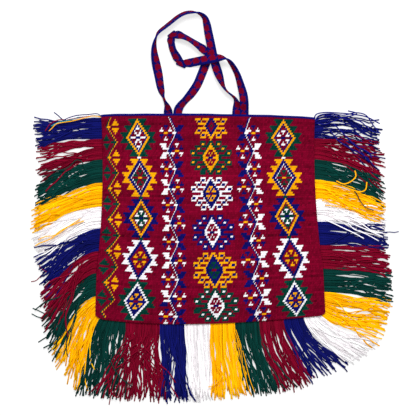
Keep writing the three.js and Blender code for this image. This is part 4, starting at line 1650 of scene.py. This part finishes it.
@dataclass(frozen=True)
class StrapSize:
    """The woven band of the handles, in millimetres."""

    width: float = 14.0
    thickness: float = 3.0
    fold_gap: float = 0.4  # between the layers of a fold
    fold_sections: int = 5
    gather: float = 0.3  # share of its width that the band loses on a crease
    lean: float = 1.15  # how far from the crease the band leans, in lengths of the crease's slant
    step: float = 2.1  # length of a stitch
    cells: int = 7  # across the width
    flat_part: float = 0.9  # share of the half-width that lies flat
    round_part: float = 0.1  # and the share that rounds the edge
    shoulder: float = 0.4  # height of the flat part's edges, as a share of the thickness
    crown: float = 0.1  # how much higher its middle is

    @property
    def layer(self) -> float:
        """Height of one layer of a folded band."""
        return self.thickness + self.fold_gap

    @property
    def back_tab(self) -> float:
        """Layers under the back handle's sewn ends."""
        return (BODY.thickness + BODY.clearance) / self.layer

    @property
    def front_tab(self) -> float:
        """Layers under the front handle's sewn ends."""
        return self.back_tab + (self.thickness + BODY.clearance) / self.layer


STRAP = StrapSize()


@dataclass
class Stretch:
    """A stretch of a handle without a fold."""

    stops: np.ndarray  # x from the body's middle, y from the mouth, height in layers and roll in degrees
    over: bool = True  # whether the next stretch comes back over the fold, or under it

    def plan(self, t: np.ndarray) -> np.ndarray:
        """The centripetal Catmull-Rom curve through the stops, seen from above.

        Each span is a cubic of its two ends and of slopes that weigh the neighbouring stops by the
        square root of their distances.

        Args:
            t: places from 0 to 1, where each span takes an equal share.

        Returns:
            Points in plan.
        """
        points = np.column_stack([self.stops[:, :2], np.zeros(len(self.stops))])
        padded = np.vstack([2 * points[0] - points[1], points, 2 * points[-1] - points[-2]])
        spans = len(points) - 1
        index = np.minimum((t * spans).astype(int), spans - 1)
        w = (t * spans - index)[:, None]
        p0, p1, p2, p3 = (padded[index + k] for k in range(4))
        pairs = ((p0, p1), (p1, p2), (p2, p3))
        d0, d1, d2 = (np.sqrt(np.linalg.norm(b - a, axis=1))[:, None] for a, b in pairs)
        m1 = d1 * ((p1 - p0) / d0 - (p2 - p0) / (d0 + d1) + (p2 - p1) / d1)
        m2 = d1 * ((p2 - p1) / d1 - (p3 - p1) / (d1 + d2) + (p3 - p2) / d2)
        return p1 + m1 * w + (3 * (p2 - p1) - 2 * m1 - m2) * w**2 + (2 * (p1 - p2) + m1 + m2) * w**3

    def heading(self, t: np.ndarray) -> np.ndarray:
        """The unit direction of the curve in plan."""
        small = 1e-4
        return unit(self.plan(np.minimum(t + small, 1)) - self.plan(np.maximum(t - small, 0)))

    def between(self, values: np.ndarray, t: np.ndarray) -> np.ndarray:
        """A monotone cubic through equally spaced values, with harmonic mean slopes.

        Args:
            values: one for every stop.
            t: places from 0 to 1.

        Returns:
            The values at those places.
        """
        rise = np.diff(values)
        product = rise[:-1] * rise[1:]
        total = np.where(product > 0, rise[:-1] + rise[1:], 1)
        slope = np.concatenate([[0], np.where(product > 0, 2 * product / total, 0), [0]])
        spans = len(values) - 1
        k = np.minimum((t * spans).astype(int), spans - 1)
        w = t * spans - k
        return (
            values[k] * (2 * w**3 - 3 * w**2 + 1)
            + slope[k] * (w**3 - 2 * w**2 + w)
            + values[k + 1] * (3 * w**2 - 2 * w**3)
            + slope[k + 1] * (w**3 - w**2)
        )

    def even(self) -> np.ndarray:
        """Measures the curve in fine steps and shares it out.

        Returns:
            Places t that lie one stitch apart along it.
        """
        fine = np.linspace(0, 1, FINE_STEPS)
        pieces = np.linalg.norm(np.diff(self.plan(fine), axis=0), axis=1)
        walked = np.concatenate([[0], np.cumsum(pieces)])
        count = round(walked[-1] / STRAP.step) + 1
        return np.interp(np.linspace(0, walked[-1], count), walked, fine)

    def sections(self, creases: tuple[np.ndarray | None, np.ndarray | None]) -> np.ndarray:
        """Cross-sections one stitch apart.

        The half-width points to the bordered edge, at the roll's angle over the floor. Near a fold
        it leans along the way until it lies on the crease, and the band gathers a little.

        Args:
            creases: direction of the crease at each end, or None.

        Returns:
            Centre, half-width vector, normal and way of each, sections by 4 by 3.
        """
        t = self.even()
        place, way = self.plan(t), self.heading(t)
        roll = np.radians(self.between(self.stops[:, 3], t))
        lift = self.between(self.stops[:, 2] * STRAP.layer, t)
        side = np.stack([way[:, 1], -way[:, 0], np.zeros(len(t))], axis=1)
        across = side * np.cos(roll)[:, None] + UP * np.sin(roll)[:, None]
        normal = np.cross(across, way)
        most = np.zeros(len(t))
        for end, crease in enumerate(creases):
            if crease is None:
                continue
            ahead = self.heading(np.array([float(end)]))[0]
            beside = np.array([ahead[1], -ahead[0], 0]) * math.cos(math.radians(self.stops[-end, 3]))
            skew = crease @ ahead / (crease @ beside)
            reach = STRAP.lean * abs(skew) * STRAP.width / 2 + STRAP.thickness
            gone = np.linalg.norm(place - self.plan(np.array([float(end)])), axis=1)
            near = np.maximum(0, 1 - gone / reach)
            across = across + way * (skew * near)[:, None]
            most = np.maximum(most, near)
        across = across * (STRAP.width / 2 * (1 - STRAP.gather * most**2))[:, None]
        place[:, 1] += BODY.height / 2
        upright = STRAP.width / 2 * np.abs(np.sin(roll)) + STRAP.thickness / 2 * np.abs(np.cos(roll))
        place[:, 2] = lift + upright
        return np.stack([place, across, normal, way], axis=1)


@dataclass
class Handle:
    """A long woven handle, folded back on itself between its stretches."""

    name: str
    replaces: str  # the frame's node that the piece stands for
    stretches: list[Stretch]  # its stretches in order
    seed: int
    stitch_height: float = 0.28
    inset: float = 2.4  # stitch heights by which the woven layer is thinner than the band
    tone: float = 0.08  # spread of the stitches' brightness
    border_painted_highlight: float = 1.5  # how much brighter the bordered edge's cell is painted, a painted highlight where the edge catches light
    repeat: tuple[str, ...] = ("nnnrnnn", "nrrrrnn", "rrrrrnn", "rrrrrnn", "nrrrrnn", "nnrnnnn")

    def crease(self, number: int) -> np.ndarray | None:
        """The crease after a stretch, half way between the arriving and the leaving direction.

        Args:
            number: of the stretch.

        Returns:
            Its unit direction, or None where there is no fold.
        """
        if not 0 <= number < len(self.stretches) - 1:
            return None
        arriving = np.diff(self.stretches[number].stops[-2:, :2], axis=0)[0]
        leaving = np.diff(self.stretches[number + 1].stops[:2, :2], axis=0)[0]
        return np.append(unit(unit(arriving) + unit(leaving)), 0)

    def fold(self, last: np.ndarray, crease: np.ndarray, over: bool) -> np.ndarray:
        """Sections round a fold: they lie along the crease and turn half a circle about it.

        Args:
            last: the section before the fold.
            crease: direction of the crease.
            over: whether the band comes back over itself, or under.

        Returns:
            Sections by 4 by 3.
        """
        count = STRAP.fold_sections
        place, across, normal, way = last
        outward = unit(way - crease * (way @ crease))
        turn = 1 if over else -1
        facing = np.sign(normal[2])
        angle = (math.pi * np.arange(1, count + 1) / (count + 1))[:, None]
        radius = STRAP.layer / 2
        places = place + outward * radius * np.sin(angle) + UP * turn * radius * (1 - np.cos(angle))
        normals = UP * facing * np.cos(angle) - outward * facing * turn * np.sin(angle)
        across, way = np.tile(across, (count, 1)), np.tile(way, (count, 1))
        return np.stack([places, across, normals, way], axis=1)

    def section_line(self, spot: np.ndarray) -> tuple[np.ndarray, np.ndarray]:
        """The outline of the band's section.

        Seven cells run over the slightly crowned top, one rounds the bordered edge as half an
        ellipse, seven run back under and one rounds the other edge.

        Args:
            spot: place round the section, in cells.

        Returns:
            Share of the half-width and share of the thickness at each place.
        """
        n = STRAP.cells
        spot = spot % (2 * n + 2)
        back = spot >= n + 1
        within = np.where(back, spot - n - 1, spot)
        flat = within <= n
        turn = math.pi * (within - n)
        rounded = STRAP.flat_part + STRAP.round_part * np.sin(turn)
        across = np.where(flat, -STRAP.flat_part + 2 * STRAP.flat_part * within / n, rounded)
        crowned = STRAP.shoulder + STRAP.crown * (1 - np.abs(across / STRAP.flat_part) ** 6)
        level = np.where(flat, crowned, STRAP.shoulder * np.cos(turn))
        sign = np.where(back, -1, 1)
        return across * sign, level * sign

    def cell_dyes(self, rows: int) -> np.ndarray:
        """Dyes round the section, one row of the repeat after another.

        The top's cells run toward the bordered edge, that edge's cell is navy with a painted highlight,
        the underside's run back, and the last cell rounds the plain edge in its neighbour's dye.

        Args:
            rows: stitches along the band.

        Returns:
            Linear colours, rows by cells by 3.
        """
        codes = {"n": CHART_CODE[Dye.NAVY], "r": CHART_CODE[Dye.CRIMSON]}
        top = np.array([[codes[letter] for letter in row] for row in self.repeat])
        ring = np.concatenate([top, top[:, -1:], top[:, ::-1], top[:, :1]], axis=1)
        dyes = CHART_COLOURS[ring[np.arange(rows) % len(self.repeat)]]
        # Painted highlight on the cell that rounds the bordered edge
        dyes[:, STRAP.cells] *= self.border_painted_highlight
        return dyes

    def build(self) -> bpy.types.Object:
        """Makes the handle: stitches round the whole section, and a flat cap at both ends.

        Returns:
            The piece.
        """
        rng = np.random.default_rng(self.seed)
        parts = []
        for number, stretch in enumerate(self.stretches):
            parts.append(stretch.sections((self.crease(number - 1), self.crease(number))))
            crease = self.crease(number)
            if crease is not None:
                parts.append(self.fold(parts[-1][-1], crease, stretch.over))
        sections = np.concatenate(parts)
        cells = 2 * STRAP.cells + 2
        places = 2 * cells
        share, level = self.section_line(np.arange(places) / 2 - LEAN)
        level = level * (STRAP.thickness - self.inset * self.stitch_height)
        lattice = (
            sections[:, None, 0]
            + sections[:, None, 1] * share[:, None]
            + sections[:, None, 2] * level[:, None]
        )
        rows = len(lattice) - 1
        dyes = self.cell_dyes(rows) * (1 + rng.normal(0, self.tone, (rows, cells, 1)))
        height = -self.stitch_height * rng.uniform(*STITCH_PLAY, (rows, cells))
        points, patches = stitch_patches(lattice, dyes, height, ring=True)
        for ring in (np.arange(places)[::-1], rows * places + np.arange(places)):
            patches.append(Patch(ring[None], Dye.NAVY.linear[None], np.zeros((1, places, 2))))
        draft = Draft()
        draft.add(points, patches)
        return finish_piece(draft, self.name, STRAP_WOOL, self.replaces)


def handles() -> list[Handle]:
    """The two handles, along the frame's routes.

    Returns:
        The back one and the front one.
    """
    back, front = STRAP.back_tab, STRAP.front_tab
    arch = [
        (-60, -20, back, 180), (-59.8, 3, back, 184), (-60.4, 8, 0.6, 208), (-61.8, 14, 0.2, 238),
        (-64.9, 20.8, 0, 260), (-66.8, 26.1, 0, 262), (-69.3, 34.1, 0, 232), (-71.6, 43.1, 0, 214),
        (-74.4, 59.6, 0, 196), (-78.6, 79.8, 0, 160), (-80.6, 92.8, 0.2, 135), (-80.7, 104.1, 0.5, 115),
        (-78.5, 114.8, 0.9, 93), (-74.6, 123.2, 1.4, 73), (-64.5, 131.6, 1.8, 66), (-54.6, 139.4, 1.8, 65),
        (-45.3, 146.8, 1.7, 65), (-34.5, 152.5, 1.3, 66), (-23.3, 154.2, 0.9, 73), (-12.6, 152.1, 0.6, 100),
        (-4.9, 145.8, 0.6, 124), (-1.8, 136.4, 0.9, 146), (0.9, 122.1, 1.5, 160), (4.7, 103.4, 2.08, 172),
        (7.2, 90.8, 2.08, 178), (10.4, 78.2, 2.05, 182), (14.4, 65.8, 1.1, 192), (19, 53.3, 0.2, 222),
        (21.7, 46.3, 0, 242), (25, 39.8, 0, 258), (29.6, 34.4, 0, 266), (35.8, 29.4, 0, 272),
        (40.6, 24.6, 0, 282), (42.6, 19.4, 0, 304), (43.8, 12.6, 0.2, 344), (43.2, 5.3, back, 360),
        (43.2, -20, back, 360),
    ]
    first = [
        (54.4, -20, front, 0), (54.4, 5.3, front, 0), (54.4, 14.1, 3.2, 3), (53.9, 22.1, 3.8, 8),
        (52.8, 30.6, 2.7, 20), (49.2, 44.6, 1, 38), (44.6, 59.6, 0.3, 52), (39, 70.9, 0.45, 60),
        (33.6, 78.4, 1.2, 68), (27.8, 83.4, 2.35, 92), (19.5, 85, 3.12, 135), (7.5, 84.2, 3.1, 168),
        (-6, 82.2, 2.6, 178), (-19.5, 79.9, 0.8, 180), (-30, 77.9, 0, 180), (-40.5, 75.4, 0, 180),
    ]
    second = [
        (-40.5, 75.4, 1, 0), (-46.2, 85.6, 1, 18), (-52.4, 97.1, 0.5, 42), (-55, 107.6, 0.1, 42),
        (-55.4, 115, 0, 14), (-54.5, 121.4, 0, 0),
    ]
    third = [
        (-54.5, 121.4, 1, 180), (-46, 120.6, 1, 192), (-37, 117.7, 0.7, 228), (-27, 112.8, 0.4, 236),
        (-14.5, 104.4, 0.7, 222), (-5.8, 97.8, 1, 192), (2.3, 92.4, 1, 180),
    ]
    fourth = [
        (2.3, 92.4, 0, 0), (-0.6, 84.6, 0, 0), (-5, 73.1, 0, 2), (-9.7, 61.1, 0, 2),
        (-16.5, 45.4, 0, 4), (-25, 32.6, 0, 18), (-34.8, 21.4, 0, 42), (-42.2, 12.6, 1, 28),
        (-45.2, 5.3, front, 0), (-45.2, -20, front, 0),
    ]
    ways = ((first, True), (second, True), (third, False), (fourth, True))
    folded = [Stretch(np.array(stops, dtype=float), over) for stops, over in ways]
    return [
        Handle("back_handle_band", "back_handle", [Stretch(np.array(arch, dtype=float))], seed=21),
        Handle("front_handle_band", "front_handle", folded, seed=22),
    ]


def seen_rays(board: Board) -> bpy.types.NodeSocket:
    """Tells the rays that show a surface from those that light others by it.

    Args:
        board: the nodes to add to.

    Returns:
        1 for rays from the camera, from a mirror or through glass, and 0 for all others.
    """
    rays = board.add("ShaderNodeLightPath")
    seen = board.math("MAXIMUM", rays.outputs["Is Camera Ray"], rays.outputs["Is Glossy Ray"])
    return board.math("MAXIMUM", seen, rays.outputs["Is Transmission Ray"])


@dataclass
class Studio:
    """White floor, a soft lamp beyond the handles, even light all round, and the camera.

    Lengths are in metres and the lamp's elevation in degrees.
    """

    floor_size: float = 6.0
    floor_tone: float = 0.75  # brightness of the floor to rays that don't show it
    floor_glow: float = 0.62  # share of its own light, to rays that show it
    focus: tuple[float, float] = (-0.00676, -0.00214)
    panel_height: float = 0.012
    distance: float = 3.0
    view_width: float = 0.624
    sensor: float = 36.0  # in millimetres
    dome: float = 0.70  # strength of the light from all round
    lamp_power: float = 43.0
    lamp_size: float = 0.9
    lamp_distance: float = 2.2
    lamp_elevation: float = 58.0
    lamp_aside: float = 0.06  # to the right of straight beyond, as a share of the distance

    def floor(self) -> None:
        """A floor that is white to the camera and pale to other rays, and keeps shadows."""
        half = self.floor_size / 2
        mesh = bpy.data.meshes.new("floor")
        corners = [(-half, -half, 0), (half, -half, 0), (half, half, 0), (-half, half, 0)]
        mesh.from_pydata(corners, [], [(0, 1, 2, 3)])
        made = bpy.data.materials.new("white_floor")
        made.use_nodes = True
        board = Board(made.node_tree)
        seen = seen_rays(board)
        colour = board.add("ShaderNodeMix", data_type="RGBA")
        board.join(seen, colour.inputs[0])
        colour.inputs[6].default_value = (self.floor_tone, self.floor_tone, self.floor_tone, 1)
        colour.inputs[7].default_value = WHITE_LIGHT
        shaded, even = board.add("ShaderNodeBsdfDiffuse"), board.add("ShaderNodeEmission")
        board.join(colour.outputs[2], shaded.inputs["Color"])
        shader = board.add("ShaderNodeMixShader")
        board.join(board.math("MULTIPLY", seen, self.floor_glow), shader.inputs[0])
        board.join(shaded.outputs[0], shader.inputs[1])
        board.join(even.outputs[0], shader.inputs[2])
        output = board.add("ShaderNodeOutputMaterial")
        board.join(shader.outputs[0], output.inputs["Surface"])
        mesh.materials.append(made)
        floor = bpy.data.objects.new("floor", mesh)
        bpy.context.scene.collection.objects.link(floor)

    def light(self) -> None:
        """A white dome and one large lamp above the top of the picture."""
        world = bpy.data.worlds.new("studio")
        world.use_nodes = True
        board = Board(world.node_tree)
        seen = seen_rays(board)
        strength = board.add("ShaderNodeMix", data_type="FLOAT")
        board.join(seen, strength.inputs[0])
        strength.inputs[2].default_value = self.dome
        strength.inputs[3].default_value = 1.0
        sky = board.add("ShaderNodeBackground")
        sky.inputs["Color"].default_value = WHITE_LIGHT
        board.join(strength.outputs[0], sky.inputs["Strength"])
        output = board.add("ShaderNodeOutputWorld")
        board.join(sky.outputs[0], output.inputs["Surface"])
        bpy.context.scene.world = world
        lamp = bpy.data.lights.new("window_lamp", "AREA")
        lamp.energy, lamp.size = self.lamp_power, self.lamp_size
        holder = bpy.data.objects.new("window_lamp", lamp)
        rise = math.radians(self.lamp_elevation)
        way = Vector((self.lamp_aside, math.cos(rise), math.sin(rise)))
        holder.location = way * self.lamp_distance
        holder.rotation_euler = way.to_track_quat("Z", "Y").to_euler()
        bpy.context.scene.collection.objects.link(holder)

    def camera(self) -> None:
        """The camera looks straight down; its lens fits the view's width at the panel."""
        lens = bpy.data.cameras.new("camera")
        lens.sensor_width = self.sensor
        lens.lens = self.sensor * (self.distance - self.panel_height) / self.view_width
        camera = bpy.data.objects.new("camera", lens)
        camera.location = (*self.focus, self.distance)
        bpy.context.scene.collection.objects.link(camera)
        bpy.context.scene.camera = camera

    def build(self) -> None:
        """Makes the whole studio."""
        bpy.context.scene.view_settings.view_transform = "Standard"
        self.floor()
        self.light()
        self.camera()


def main() -> None:
    """Builds every part of the bag and its studio in order."""
    logging.basicConfig(level=logging.INFO, format="%(name)s %(message)s")
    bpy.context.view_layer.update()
    Studio().build()
    chart, plain = front_chart(*CHART_SIZE), MotifChart(*CHART_SIZE)
    front = WovenPanel("front_weave", "front_panel", chart, True, GROUND_WOOL, seed=1).build()
    back = WovenPanel("back_weave", "back_panel", plain, False, BACK_WOOL, seed=2).build()
    edges = [edge.build() for edge in whipped_edges()]
    for handle in handles():
        handle.build()
    yarns = [bundle.build() for bundle in Fringe().bundles()]


if __name__ == "__main__":
    main()
